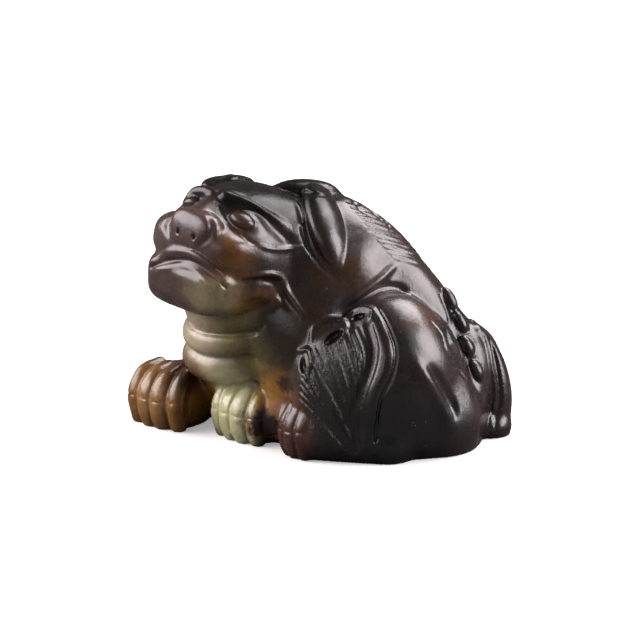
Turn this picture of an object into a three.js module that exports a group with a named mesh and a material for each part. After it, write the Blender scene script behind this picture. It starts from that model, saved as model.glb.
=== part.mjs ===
import * as THREE from "three";

// A mythical beast carved from one pebble of jade. It lies on folded legs with its head
// raised and turned towards its own left, the tail laid against the rump.
// Millimetres, +Z up, ground at Z = 0, snout towards -X, the beast's left side towards -Y.

// Sizes that drive the stone
const LENGTH = 68; // front toe to tail of the real stone
const LAYOUT_LENGTH = 68.73; // every other size and place in this file is that of a stone this long
const HEAD_YAW = 47; // degrees the head turns from straight ahead
const HEAD_PITCH = 12; // degrees the nose points up
const HEAD_ROLL = 4;
const HEAD_AT = [-18.3, -5.0, 43.1]; // point between the eyes
const MUZZLE_HALF_WIDTH = 10.7;
const NOSE_HALF_WIDTH = 5.5;
const EYE_SPACING = 12;
const CHIN_SLANT = 14; // degrees the front of the chin leans back towards the throat
const LIP_HEIGHT = 0.7;
const MOUTH_DEPTH = 1.1;
const THROAT_ROLL = 3.1; // half the thickness of the upper and the lower roll of skin on the throat
const MIDDLE_ROLL = 2.4; // the same of the roll between them
const FLANK_AROUND = 43; // degrees the flat flank behind the haunch turns towards the tail
const FLANK_UP = 25;
const TOE_GROOVE = 0.7;
const TOES = 4;
const BEAD_LENGTH = 2.5;
const TAIL_LOBES = 3;
const RELIEF = 1; // depth of the drawn folds and hollows

// How finely the stone is sampled and how many facets it keeps
const GRID = 0.8;
const SOFTEST = 0.6; // creases keep at least this much blending, so that the grid can follow them
const FACETS = 9600;
const SLIVER = 0.06; // facets thinner than this are avoided
const SOLE = 0.15; // corners this close to the table lie on it
const ROOM = [[-37.3, -25.3, -2.9], [37.5, 29.5, 51]]; // opposite corners of the sampled room

// The carved lines are laid out as seen from the beast's left, 17 degrees above the table:
// across and up in units of 1 / 5.6 mm, ground point of the middle at (319.5, 431).
const VIEW_TILT = THREE.MathUtils.degToRad(17);
const UNIT = 5.6;
const VIEW_ORIGIN = [319.5, 431];
const MIDDLE = 3.4; // Y of the plane through the spine

const add = (a, b, k = 1) => [a[0] + b[0] * k, a[1] + b[1] * k, a[2] + b[2] * k];
const dot = (a, b) => a[0] * b[0] + a[1] * b[1] + a[2] * b[2];
const cross = (a, b) => [
  a[1] * b[2] - a[2] * b[1],
  a[2] * b[0] - a[0] * b[2],
  a[0] * b[1] - a[1] * b[0],
];
const unit = (a) => a.map((v) => v / Math.hypot(...a));

// Axes forward, left and up of something turned by yaw, pitched up and rolled to its left
function turned(yaw, pitch = 0, roll = 0) {
  const [y, p, r] = [yaw, pitch, roll].map(THREE.MathUtils.degToRad);
  const forward = [-Math.cos(y) * Math.cos(p), -Math.sin(y) * Math.cos(p), Math.sin(p)];
  const flat = [Math.sin(y), -Math.cos(y), 0];
  const top = cross(forward, flat);
  const left = add(flat.map((v) => v * Math.cos(r)), top, -Math.sin(r));
  const up = add(top.map((v) => v * Math.cos(r)), flat, Math.sin(r));
  return [forward, left, up];
}

function place(frame, point) {
  return frame.axes.reduce((sum, axis, i) => add(sum, axis, point[i]), frame.at);
}

const WORLD = { at: [0, 0, 0], axes: [[1, 0, 0], [0, 1, 0], [0, 0, 1]] };
const HEAD = { at: HEAD_AT, axes: turned(HEAD_YAW, HEAD_PITCH, HEAD_ROLL) };

// A smooth curve through rows of numbers, steps pieces between neighbours
function smoothCurve(rows, steps) {
  if (rows.length === 2) return rows;
  const last = rows.length - 1;
  const before = rows[0].map((v, i) => 2 * v - rows[1][i]);
  const after = rows[last].map((v, i) => 2 * v - rows[last - 1][i]);
  const all = [before, ...rows, after];
  const out = [];
  for (let k = 0; k < last; k++) {
    const [a, b, c, d] = all.slice(k, k + 4);
    for (let s = 0; s < steps; s++) {
      const t = s / steps;
      out.push(b.map((v, i) => {
        const bend = (2 * a[i] - 5 * v + 4 * c[i] - d[i]) * t * t;
        const twist = (3 * v - a[i] - 3 * c[i] + d[i]) * t * t * t;
        return 0.5 * (2 * v + (c[i] - a[i]) * t + bend + twist);
      }));
    }
  }
  out.push(rows[last]);
  return out;
}

function smoothMin(a, b, k) {
  if (k === 0) return Math.min(a, b);
  const h = Math.min(1, Math.max(0, 0.5 + (0.5 * (b - a)) / k));
  return b + (a - b) * h - k * h * (1 - h);
}

function boxAround(points, margin) {
  const low = [0, 1, 2].map((i) => Math.min(...points.map((p) => p[i])) - margin);
  const high = [0, 1, 2].map((i) => Math.max(...points.map((p) => p[i])) + margin);
  return [...low, ...high];
}

function joined(shape, asked, cut) {
  const blend = asked === 0 ? 0 : Math.max(asked, SOFTEST);
  if (cut) return (d, x, y, z) => -smoothMin(-d, shape(x, y, z), blend);
  return (d, x, y, z) => smoothMin(d, shape(x, y, z), blend);
}

// An ellipsoid; a power above 2 makes it boxier
function ball(at, radii, { frame = WORLD, axes = WORLD.axes, blend = 2, power = 2, cut = false } = {}) {
  const c = place(frame, at);
  const rows = axes.map((axis) => place({ at: [0, 0, 0], axes: frame.axes }, axis));
  const reach = [0, 1, 2].map((i) => Math.hypot(...rows.map((row, k) => row[i] * radii[k])) + blend + 3);
  const shape = (x, y, z) => {
    const p = [x - c[0], y - c[1], z - c[2]];
    const q = [dot(rows[0], p), dot(rows[1], p), dot(rows[2], p)];
    if (power === 2) {
      const k0 = Math.hypot(q[0] / radii[0], q[1] / radii[1], q[2] / radii[2]);
      const k1 = Math.hypot(q[0] / radii[0] ** 2, q[1] / radii[1] ** 2, q[2] / radii[2] ** 2);
      return (k0 * (k0 - 1)) / (k1 + 1e-6);
    }
    const sum = q.reduce((s, v, i) => s + (Math.abs(v) / radii[i]) ** power, 0);
    return Math.hypot(...q) * (1 - 1 / Math.max(sum ** (1 / power), 1e-3));
  };
  const box = [...c.map((v, i) => v - reach[i]), ...c.map((v, i) => v + reach[i])];
  return { box, apply: joined(shape, blend, cut) };
}

// Distance to a chain of cone pieces through points, with the share of the way along it
function chain(points, radii, squash) {
  const axis = squash ? unit(squash[0]) : [0, 0, 0];
  const stretch = squash ? 1 / squash[1] - 1 : 0;
  const scale = squash ? Math.sqrt(squash[1]) : 1;
  const wide = (p) => add(p, axis, dot(p, axis) * stretch);
  const spots = points.map(wide);
  const count = spots.length - 1;
  return (x, y, z) => {
    const p = squash ? wide([x, y, z]) : [x, y, z];
    let best = 1e3;
    let along = 0;
    for (let i = 0; i < count; i++) {
      const a = spots[i];
      const b = spots[i + 1];
      const ux = b[0] - a[0];
      const uy = b[1] - a[1];
      const uz = b[2] - a[2];
      const vx = p[0] - a[0];
      const vy = p[1] - a[1];
      const vz = p[2] - a[2];
      const size = ux * ux + uy * uy + uz * uz || 1e-9;
      const t = Math.min(1, Math.max(0, (ux * vx + uy * vy + uz * vz) / size));
      const ex = vx - t * ux;
      const ey = vy - t * uy;
      const ez = vz - t * uz;
      const d = Math.sqrt(ex * ex + ey * ey + ez * ez) - (radii[i] + (radii[i + 1] - radii[i]) * t);
      if (d < best) {
        best = d;
        along = (i + t) / count;
      }
    }
    return [best * scale, along];
  };
}

// A limb, fold or lobe along a smooth path, radii given at the same points
function rod(path, radii, { frame = WORLD, blend = 1.5, squash = null, steps = 5 } = {}) {
  const rows = smoothCurve(path.map((p, i) => [...place(frame, p), radii[i]]), steps);
  const points = rows.map((row) => row.slice(0, 3));
  const distance = chain(points, rows.map((row) => row[3]), squash);
  const box = boxAround(points, Math.max(...radii) + blend + 2);
  return { box, apply: joined((x, y, z) => distance(x, y, z)[0], blend, false) };
}

// A raised (height above 0) or cut (below 0) line along points on the surface
function line(points, width, height, [start, end] = [1, 1]) {
  const path = smoothCurve(points, 4);
  const distance = chain(path, path.map(() => 0));
  const box = boxAround(path, width * 2.5);
  const apply = (d, x, y, z) => {
    const [r, along] = distance(x, y, z);
    const opening = start + (1 - start) * Math.min(1, along / 0.25);
    const closing = end + (1 - end) * Math.min(1, (1 - along) / 0.25);
    return d - height * opening * closing * Math.exp(-1.6 * (r / width) ** 2);
  };
  return { box, apply };
}

function fieldOf(parts) {
  return (x, y, z) => {
    let d = 50;
    for (const { box, apply } of parts) {
      if (x < box[0] || y < box[1] || z < box[2] || x > box[3] || y > box[4] || z > box[5]) continue;
      d = apply(d, x, y, z);
    }
    return d;
  };
}

// Points of the side view carried onto the stone along the line of sight; the far side
// gets the same drawing, mirrored in the plane through the spine.
function drawn(field, flat, { depth = 0, far = false } = {}) {
  const sight = [0, -Math.cos(VIEW_TILT), Math.sin(VIEW_TILT)];
  const rise = [0, Math.sin(VIEW_TILT), Math.cos(VIEW_TILT)];
  const mirror = (p) => (far ? [p[0], 2 * MIDDLE - p[1], p[2]] : p);
  const out = [];
  for (let i = 0; i < flat.length; i += 2) {
    const across = (flat[i] - VIEW_ORIGIN[0]) / UNIT;
    const foot = add([across, 0, 0], rise, (VIEW_ORIGIN[1] - flat[i + 1]) / UNIT);
    let found = null;
    let nearest = [1e3, 0];
    for (let s = 45; s > -45; s -= 0.25) {
      const d = field(...mirror(add(foot, sight, s)));
      if (d < nearest[0]) nearest = [d, s];
      if (d < 0) {
        found = s;
        break;
      }
    }
    out.push(mirror(add(foot, sight, (found ?? nearest[1]) - depth)));
  }
  return out;
}

function slopeOf(field, p) {
  const h = 0.05;
  const d = field(...p);
  return [0, 1, 2].map((i) => (field(...p.map((v, k) => (k === i ? v + h : v))) - d) / h);
}

// Points moved onto the surface, then in by depth
function settle(field, points, depth = 0) {
  return points.map((start) => {
    let p = start;
    for (let k = 0; k < 4; k++) {
      const slope = slopeOf(field, p);
      const size = dot(slope, slope) + 1e-6;
      p = add(p, slope, -(field(...p) + (k === 3 ? depth : 0)) / size);
    }
    return p;
  });
}

function flipHead(points) {
  return points.map((p) => {
    const q = add(p, HEAD.at, -1);
    const [f, l, u] = HEAD.axes.map((axis) => dot(axis, q));
    return place(HEAD, [f, -l, u]);
  });
}

function trunk() {
  const spine = [[2.7, 4, 37.1], [11, 3.6, 31.6], [15.9, 3.4, 25.5], [19.5, 3.2, 20.5], [22, 3, 16.3],
    [24.1, 2.6, 11.2], [25.3, 2.4, 6]];
  return [
    rod([[-11.5, 7.5, 3], [-13, 6, 10], [-13.2, 2, 17], [-11, 0, 28]], [6.3, 8.2, 9.2, 9.6], { blend: 0 }),
    rod([[1, 4, 25], [12, 3.5, 14.4]], [14.8, 12.6], { blend: 4, squash: [[0, 1, 0], 0.9] }),
    ball([6, 4, 6], [20, 15.5, 11], { blend: 4 }),
    ball([18.5, 3, 8], [10, 11, 11.5], { blend: 3 }),
    ball([26.6, 2, 8.6], [5, 7.6, 10.4], { blend: 2.5 }),
    rod([[-6, 2, 33], [2, 4.5, 29.5]], [9.8, 11.2], { blend: 3 }),
    rod(spine, spine.map(() => 5.2), { blend: 3 }),
  ];
}

// Rolls of skin round the throat: middle of the neck at their height, thickness and reach
const ROLLS = [
  { middle: [-12.9, 0.8], height: 23.5, thick: THROAT_ROLL, reach: 8.1 },
  { middle: [-13.2, 1.8], height: 18.5, thick: MIDDLE_ROLL, reach: 8.9 },
  { middle: [-13.2, 3.4], height: 13.6, thick: THROAT_ROLL, reach: 8.3 },
];

// Round the neck from the far side to the near one: angle, how far the roll lifts, its share of full size
const ROUND_NECK = [[135, 0.6, 0.7], [165, 0.1, 0.95], [195, -0.4, 1], [225, -0.5, 1], [255, 0.1, 1],
  [285, 1, 0.92], [312, 1.8, 0.6]];

function rollPath({ middle, height, reach }, rise, inward) {
  return ROUND_NECK.map(([angle, lift, fade]) => {
    const a = THREE.MathUtils.degToRad(angle);
    const r = reach * (1 + 0.4 * (fade - 1)) - inward;
    return [middle[0] + r * Math.cos(a), middle[1] + r * Math.sin(a), height + lift + rise];
  });
}

function throatFolds() {
  const fades = ROUND_NECK.map((row) => row[2]);
  const outer = ROLLS.map((roll) => {
    return rod(rollPath(roll, 0, 0), fades.map((fade) => roll.thick * fade), { blend: 0.25 });
  });
  const filling = ROLLS.map((roll) => {
    const path = rollPath(roll, 0.55 * roll.thick, 0.35 * roll.thick);
    return rod(path, fades.map((fade) => 0.95 * roll.thick * fade), { blend: 1.2 });
  });
  return [...outer, ...filling, ball([-6.5, -4.5, 21], [6, 6.6, 8], { blend: 2.5 })];
}

// Axes outward, to the right and upward of a face so many degrees right of the side view and up
function facing(around, up) {
  const [a, e] = [around, up].map(THREE.MathUtils.degToRad);
  const out = [Math.sin(a) * Math.cos(e), -Math.cos(a) * Math.cos(e), Math.sin(e)];
  const right = [Math.cos(a), Math.sin(a), 0];
  return [out, right, cross(out, right)];
}

function legs() {
  return [
    ball([-1.5, -5, 16], [9.5, 8.6, 14], { blend: 3 }),
    rod([[-10.5, -3.4, 4.4], [-3, -7.5, 5.6]], [4.4, 6], { blend: 2 }),
    rod([[-25, 6.5, 5.2], [-15, 12, 6.5]], [5, 6.3], { blend: 2 }),
    ball([-3, 13, 14], [10, 8, 13], { blend: 3 }),
    ball([4, -10.4, 10.6], [9.8, 9.2, 13.8], { blend: 1 }),
    ball([3.8, 15.2, 11.5], [9.2, 8.4, 13], { blend: 1 }),
    rod([[0, -14, 4.2], [12, -15, 3]], [5, 5.2], { blend: 1.5 }),
    rod([[-1, 18, 4.2], [12, 18, 3]], [4.6, 5.2], { blend: 1.5 }),
    ball([12, -7.5, 10.5], [13.2, 12.5, 17.6], { blend: 0.9 }),
    ball([20, -4.2, 4], [9.5, 12, 11], { blend: 2.5 }),
    ball([11, 13.5, 9.5], [13.6, 11.5, 14.5], { blend: 1.2 }),
    ball([20, 10, 4], [9.5, 11, 10.5], { blend: 2.5 }),
    ball([18.4, -5.9, 9.5], [9, 6.5, 13], { axes: facing(FLANK_AROUND, FLANK_UP), blend: 1.5, power: 3 }),
  ];
}

const SIDES = [-1, 1];

function eye(side) {
  const along = unit([-0.35, 0.93 * side, -0.2]);
  const out = unit(cross(along, [0.1, 0.1 * side, 1]));
  const axes = [along, cross(out, along), out];
  const at = [-0.5, (EYE_SPACING / 2) * side + 0.4, -0.9];
  return ball(at, [2.5, 1.45, 1.9], { frame: HEAD, axes, blend: 0.15 });
}

// The far brow arches over its eye, the near one runs back to the ear
const NEAR_BROW = [[-0.6, 1.6, 2.1], [-2.4, 4.4, 1.9], [-4.4, 7, 1], [-8.4, 9.2, -1], [-13, 10.4, -3.6]];
const FAR_BROW = [[-0.6, -1.4, 1.6], [-0.8, -3.6, 1.7], [-0.7, -5.8, 1], [-0.9, -7, -0.7], [-5, -9.6, -3.2]];

function head() {
  const slant = THREE.MathUtils.degToRad(CHIN_SLANT);
  const chin = [[Math.cos(slant), 0, -Math.sin(slant)], [0, 1, 0], [Math.sin(slant), 0, Math.cos(slant)]];
  const cheek = (side) => ball([-4.5, 5.6 * side, -8], [6, 6.2, 6], { frame: HEAD, blend: 2.5 });
  const socket = (side) => ball([-2.6, 5.2 * side, -1.5], [2.9, 3.5, 2.1], { frame: HEAD, blend: 2 });
  return [
    ball([-8, 0, -5.4], [11.6, 10.8, 7.8], { frame: HEAD, blend: 3 }),
    ball([-10, -0.5, -2.6], [10, 9.6, 6.8], { frame: HEAD, blend: 2.5 }),
    ball([-1, -0.4, -6.9], [7.6, MUZZLE_HALF_WIDTH, 5.1], { frame: HEAD, blend: 2.2, power: 2.7 }),
    ball([-1.7, 0, -13], [8, 10, 4.9], { frame: HEAD, axes: chin, blend: 1.4, power: 3.8 }),
    ball([-7.5, 0, -11], [9.3, 11.4, 7.4], { frame: HEAD, blend: 3 }),
    rod([[2.6, 0, -2.4], [-2.5, 0, 0.6]], [3, 2.6], { frame: HEAD, blend: 1.8 }),
    ball([4.4, 0.6, -4.1], [2.7, NOSE_HALF_WIDTH, 3.7], { frame: HEAD, blend: 0.5, power: 2.7 }),
    ...SIDES.flatMap((side) => [cheek(side), socket(side), eye(side)]),
    rod(NEAR_BROW, [1.3, 1, 0.8, 0.65, 0.5], { frame: HEAD, blend: 0.7 }),
    rod(FAR_BROW, [1.3, 1.2, 1.1, 0.9, 0.6], { frame: HEAD, blend: 0.5 }),
  ];
}

// Leaf shaped ears that hang from the crown beside the neck
function ears(field) {
  const radii = [3.4, 4.3, 4.1, 2.8, 0.8];
  const near = drawn(field, [318, 203, 324, 219, 329, 237, 334, 255, 341, 272], { depth: 1.2 });
  const hang = [[-10, -7.6, 2], [-14, -9.2, 1.4], [-17.5, -12, -3], [-18.5, -12.5, -7], [-19.5, -12.5, -10.5]];
  const far = settle(field, hang.map((p) => place(HEAD, p)), 1);
  const outward = (p) => add(p, [-8, 4, 32], -1);
  return [
    ...[near, far].map((path) => rod(path, radii, { blend: 0.3, squash: [outward(path[1]), 0.62] })),
    ball([-12.3, -8.4, 1.5], [6.8, 3.4, 1.9], { frame: HEAD, blend: 0.5 }),
  ];
}

// One swept-back horn lying on the nape
function horn() {
  const path = [[-9.5, 4.8, 42.4], [-5, 5.8, 43.2], [0, 7, 42.6], [3, 8, 40.9]];
  return [rod(path, [1, 2.5, 2.6, 1.6], { blend: 0.4, squash: [[0, 0, 1], 0.66] })];
}

// The tail lies up the rump in lobes side by side, from a root at the ground
function tail() {
  const lobes = Array.from({ length: TAIL_LOBES }, (_, i) => {
    const [x, y, top] = [31.4 - 0.4 * i, 0.2 + 3.5 * i, 17.8 - 0.6 * i];
    const path = [[x, y - 1.6, 0.5], [x, y - 0.2, 7], [x - 1.4, y + 0.8, 13], [x - 3.8, y + 1.4, top]];
    return rod(path, [2.4, 2.9, 2.7, 1.7], { blend: 0.4 });
  });
  return [...lobes, ball([29.5, -1.5, 1.5], [4.6, 3.6, 3], { blend: 1 })];
}

const PAWS = [
  { name: "far fore", at: [-26, 6.4, 0], yaw: 50, width: 12.6, length: 6.6, height: 10.6 },
  { name: "near fore", at: [-11, -1.9, 0], yaw: 45, width: 12, length: 6.8, height: 10.4 },
  { name: "near hind", at: [-1, -12, 0], yaw: 32, width: 8.4, length: 6.2, height: 10.2 },
  { name: "far hind", at: [-3.4, 17.5, 0], yaw: -8, width: 9.6, length: 6.2, height: 9.8 },
];

// Path over the paw from instep to sole; whole rows are toes, halves lie between toes
function toePath({ width, length, height }, row) {
  const middle = (TOES - 1) / 2;
  const l = ((row - middle) * width) / TOES;
  const back = 0.3 * Math.abs(row - middle) ** 1.9;
  return [
    [0.02 * length - back, l * 0.82, height * 0.94],
    [0.55 * length - back, l * 0.95, height * 0.83],
    [0.84 * length - back, l, height * 0.5],
    [0.72 * length - back, l * 0.97, height * 0.1],
  ];
}

function paw(size) {
  const { at, yaw, width, length, height } = size;
  const frame = { at, axes: turned(yaw) };
  const core = [length * 1.1, width * 0.53, height * 0.58];
  const parts = [ball([-0.2, 0, height * 0.42], core, { frame, blend: 1.2, power: 2.4 })];
  const fat = (width / TOES) * 0.5;
  for (let row = 0; row < TOES; row++) {
    parts.push(rod(toePath(size, row), [0.7, 0.95, 1.05, 1].map((k) => k * fat), { frame, blend: 0.7 }));
  }
  return parts;
}

function toeGrooves(field, size) {
  const frame = { at: size.at, axes: turned(size.yaw) };
  const rows = Array.from({ length: TOES - 1 }, (_, i) => i + 0.5);
  return rows.map((row) => {
    const path = settle(field, toePath(size, row).map((p) => place(frame, p)));
    return line(path, 0.45, -TOE_GROOVE, [0.1, 1]);
  });
}

// Carved lines: where the other side gets them too, width, height, fading of both ends, path
const LINES = [
  // mouth, cheek, eyes and nose
  { also: "", width: 0.8, height: LIP_HEIGHT, ends: [0.6, 0.4],
    path: [154, 262, 163, 257, 176, 253, 190, 254, 203, 260, 215, 270, 228, 282] },
  { also: "", width: 0.6, height: -MOUTH_DEPTH, ends: [1, 0.4],
    path: [153, 268, 164, 264, 177, 261, 190, 261, 202, 266, 214, 276, 228, 289] },
  { also: "", width: 0.8, height: 0.35, ends: [0.3, 0.3],
    path: [158, 274, 166, 270, 178, 267, 190, 268, 201, 274, 211, 285, 219, 297] },
  { also: "head", width: 0.65, height: 0.9, ends: [0.2, 0.2],
    path: [240, 278, 255, 276, 272, 275, 282, 279, 287, 291, 297, 306, 304, 316] },
  { also: "head", width: 0.75, height: -0.6, ends: [0.3, 0.2],
    path: [246, 284, 262, 281, 275, 284, 282, 296, 290, 309] },
  { also: "head", width: 1.6, height: 0.6, ends: [0.3, 0.3], path: [250, 293, 262, 295, 274, 303] },
  { also: "head", width: 1.2, height: -0.5, ends: [0.5, 0.1], path: [261, 217, 272, 227, 284, 238, 296, 245] },
  { also: "head", width: 0.65, height: 0.5, ends: [0.1, 0.2], path: [258, 246, 272, 250, 288, 250, 303, 246] },
  { also: "head", width: 0.65, height: -0.6, ends: [0.5, 0.1],
    path: [221, 211, 229, 222, 240, 233, 250, 242, 258, 246] },
  { also: "head", width: 0.75, height: -0.65, ends: [0.3, 0.3], path: [212, 220, 214, 231, 210, 240, 201, 247] },
  // ear and horn
  { also: "head", width: 0.8, height: -0.6, ends: [0.2, 0.3],
    path: [302, 222, 305, 236, 312, 252, 322, 266, 334, 277] },
  { also: "head", width: 0.65, height: 0.5, ends: [0.4, 0.1], path: [295, 203, 299, 211, 302, 221, 303, 228] },
  { also: "", width: 0.6, height: -0.5, ends: [0.2, 0.2], path: [278, 189, 295, 192, 320, 196, 340, 198] },
  // shoulder, haunch and hip
  { also: "body", width: 0.8, height: 0.8, ends: [0.2, 0.2],
    path: [345, 304, 360, 294, 380, 279, 394, 266] },
  { also: "body", width: 0.8, height: -0.7, ends: [0.2, 0.2],
    path: [352, 308, 366, 298, 385, 288, 402, 290, 420, 302] },
  { also: "body", width: 1.7, height: 1, ends: [0.1, 0.1],
    path: [412, 358, 424, 377, 436, 398, 444, 415, 443, 432] },
  { also: "body", width: 1.3, height: -0.9, ends: [0.1, 0.1], path: [424, 364, 438, 383, 449, 402, 453, 420] },
  { also: "", width: 1.1, height: -1.1, ends: [0.2, 0.1],
    path: [442, 322, 448, 340, 457, 354, 468, 372, 478, 394] },
  { also: "", width: 0.65, height: -0.7, ends: [0.2, 0.2], path: [489, 340, 496, 366, 499, 398, 494, 428] },
  // locks of the hind leg and the curls at its knee
  { also: "body", width: 1.5, height: 1.1, ends: [0.3, 0.2],
    path: [378, 328, 385, 350, 383, 370, 374, 392, 369, 420, 365, 452] },
  { also: "body", width: 0.8, height: -1.1, ends: [0.3, 0.3],
    path: [367, 326, 372, 350, 369, 370, 359, 392, 351, 418, 355, 448] },
  { also: "body", width: 0.6, height: -0.8, ends: [0.3, 0.3],
    path: [377, 309, 386, 325, 394, 350, 390, 376, 379, 398, 375, 425, 374, 458] },
  { also: "body", width: 0.7, height: -0.6, ends: [0.3, 0.3], path: [318, 345, 330, 375, 343, 410, 356, 445] },
  { also: "body", width: 0.7, height: -0.5, ends: [0.3, 0.3], path: [340, 335, 344, 365, 348, 400, 356, 440] },
  { also: "body", width: 0.7, height: 0.9, ends: [0.4, 0.4],
    path: [311, 342, 314, 329, 324, 320, 338, 319, 345, 325, 343, 333] },
  { also: "body", width: 0.7, height: 0.8, ends: [0.4, 0.4],
    path: [344, 319, 352, 311, 362, 308, 372, 311, 371, 318] },
  { also: "body", width: 0.6, height: 0.7, ends: [0.4, 0.4], path: [300, 350, 309, 350, 311, 362, 306, 378] },
];

function carvedLines(field) {
  return LINES.flatMap(({ also, width, height, ends, path }) => {
    const near = drawn(field, path);
    const paths = [near];
    if (also === "head") paths.push(settle(field, flipHead(near)));
    if (also === "body") paths.push(drawn(field, path, { far: true }));
    return paths.map((points) => line(points, width, height * RELIEF, ends));
  });
}

function nostrils() {
  const hole = (side) => [7.2, 0.6 + 1.95 * side, -4.8];
  return SIDES.map((side) => ball(hole(side), [1, 0.5, 0.6], { frame: HEAD, blend: 0.3, cut: true }));
}

// Pits drilled in the curls at the knee: place and slant on the drawing, half length, width and depth
const PITS = [
  { spot: [333, 337], slant: 38, radii: [2.1, 0.9, 1.7] },
  { spot: [357, 317], slant: 14, radii: [1.4, 0.6, 1.2] },
  { spot: [303, 364], slant: 95, radii: [1.5, 0.6, 1] },
];

function pits(field) {
  const sight = [0, -Math.cos(VIEW_TILT), Math.sin(VIEW_TILT)];
  const rise = [0, Math.sin(VIEW_TILT), Math.cos(VIEW_TILT)];
  return PITS.flatMap(({ spot, slant, radii }) => [false, true].map((far) => {
    const a = THREE.MathUtils.degToRad(slant);
    const along = add([Math.cos(a), 0, 0], rise, Math.sin(a));
    const axes = [along, cross(along, sight), sight].map(([x, y, z]) => [x, far ? -y : y, z]);
    return ball(drawn(field, spot, { far })[0], radii, { axes, blend: 0.15, cut: true });
  }));
}

// Beads of the backbone above the tail
function beads(field) {
  const out = unit([0.75, -0.45, 0.5]);
  const side = unit(cross([0.62, -0.35, -0.62], out));
  const axes = [cross(side, out), side, out];
  const spots = [449, 300, 459.5, 322.5, 466, 346, 475, 370];
  return drawn(field, spots).map((at, i) => {
    const long = BEAD_LENGTH - 0.16 * i;
    return ball(at, [long, 1.3, 1.15], { axes, blend: 0.15 });
  });
}

// Everything below the table is ground off flat
const base = { box: [-99, -99, -99, 99, 99, 99], apply: (d, x, y, z) => Math.max(d, -z) };

function beast() {
  const body = [...trunk(), ...throatFolds(), ...legs(), ...head()];
  const bodyField = fieldOf(body);
  const masses = [...body, ...ears(bodyField), ...horn(), ...tail(), ...PAWS.flatMap(paw)];
  const field = fieldOf(masses);
  const grooves = PAWS.flatMap((size) => toeGrooves(field, size));
  const holes = [...nostrils(), ...pits(field)];
  return fieldOf([...masses, ...carvedLines(field), ...grooves, ...holes, ...beads(field), base]);
}

// The surface where the field is zero: every grid cube is split into six tetrahedra
function polygonise(field, low, high, step) {
  const size = low.map((v, i) => Math.ceil((high[i] - v) / step) + 1);
  const [nx, ny, nz] = size;
  const values = new Float64Array(nx * ny * nz);
  const at = (i, j, k) => (i * ny + j) * nz + k;
  const spot = (id) => {
    const k = id % nz;
    const j = ((id - k) / nz) % ny;
    const i = (id - k - j * nz) / (ny * nz);
    return [low[0] + i * step, low[1] + j * step, low[2] + k * step];
  };
  for (let id = 0; id < values.length; id++) values[id] = field(...spot(id)) || 1e-9;
  const corners = [0, 1, 2, 3, 4, 5, 6, 7].map((c) => at(c & 1, (c >> 1) & 1, c >> 2));
  const walks = [[1, 3], [5, 1], [3, 2], [2, 6], [4, 5], [6, 4]];
  const points = [];
  const faces = [];
  const known = new Map();
  const crossing = (a, b) => {
    const key = Math.min(a, b) * values.length + Math.max(a, b);
    if (!known.has(key)) {
      known.set(key, points.length);
      const [p, q] = [spot(a), spot(b)];
      const t = values[a] / (values[a] - values[b]);
      points.push(add(p, add(q, p, -1), Math.min(0.97, Math.max(0.03, t))));
    }
    return known.get(key);
  };
  const odd = ([a, b, c, d]) => ((a > b) + (a > c) + (a > d) + (b > c) + (b > d) + (c > d)) % 2 === 1;
  for (let i = 0; i < nx - 1; i++) {
    for (let j = 0; j < ny - 1; j++) {
      for (let k = 0; k < nz - 1; k++) {
        const cube = corners.map((c) => c + at(i, j, k));
        const filled = cube.filter((id) => values[id] < 0).length;
        if (filled === 0 || filled === 8) continue;
        for (const [m, n] of walks) {
          const tetra = [cube[0], cube[m], cube[n], cube[7]];
          const inside = [0, 1, 2, 3].filter((v) => values[tetra[v]] < 0);
          const outside = [0, 1, 2, 3].filter((v) => values[tetra[v]] >= 0);
          if (inside.length === 0 || outside.length === 0) continue;
          const order = inside.length === 3 ? [...outside, ...inside] : [...inside, ...outside];
          const [p, q, r, s] = order.map((v) => tetra[v]);
          const pair = inside.length === 2;
          const ring = pair
            ? [crossing(p, r), crossing(p, s), crossing(q, s), crossing(q, r)]
            : [crossing(p, q), crossing(p, r), crossing(p, s)];
          if (odd(order) !== (inside.length === 3)) ring.reverse();
          faces.push(ring.slice(0, 3));
          if (pair) faces.push([ring[0], ring[2], ring[3]]);
        }
      }
    }
  }
  return { points, faces };
}

// Evens out the mesh: each corner moves to the middle of its neighbours and back to the surface
function relax(field, { points, faces }) {
  const sums = points.map(() => [0, 0, 0, 0]);
  for (const face of faces) {
    face.forEach((v, i) => {
      const p = points[face[(i + 1) % 3]];
      for (let k = 0; k < 3; k++) sums[v][k] += p[k];
      sums[v][3] += 1;
    });
  }
  const moved = sums.map(([x, y, z, n]) => {
    const p = [x / n, y / n, z / n];
    const slope = slopeOf(field, p);
    return add(p, slope, -field(...p) / Math.max(dot(slope, slope), 0.2));
  });
  return { points: moved, faces };
}

// Least-error place for a corner, from the planes it has stood in: ten sums per corner
function planeSums(a, b, c) {
  const normal = cross(add(b, a, -1), add(c, a, -1));
  const area = Math.hypot(...normal);
  const [x, y, z] = normal.map((v) => v / (area || 1));
  const d = -dot([x, y, z], a);
  return [x * x, x * y, x * z, x * d, y * y, y * z, y * d, z * z, z * d, d * d].map((v) => v * area);
}

function errorAt(q, [x, y, z]) {
  return q[0] * x * x + 2 * q[1] * x * y + 2 * q[2] * x * z + 2 * q[3] * x + q[4] * y * y
    + 2 * q[5] * y * z + 2 * q[6] * y + q[7] * z * z + 2 * q[8] * z + q[9];
}

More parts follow.
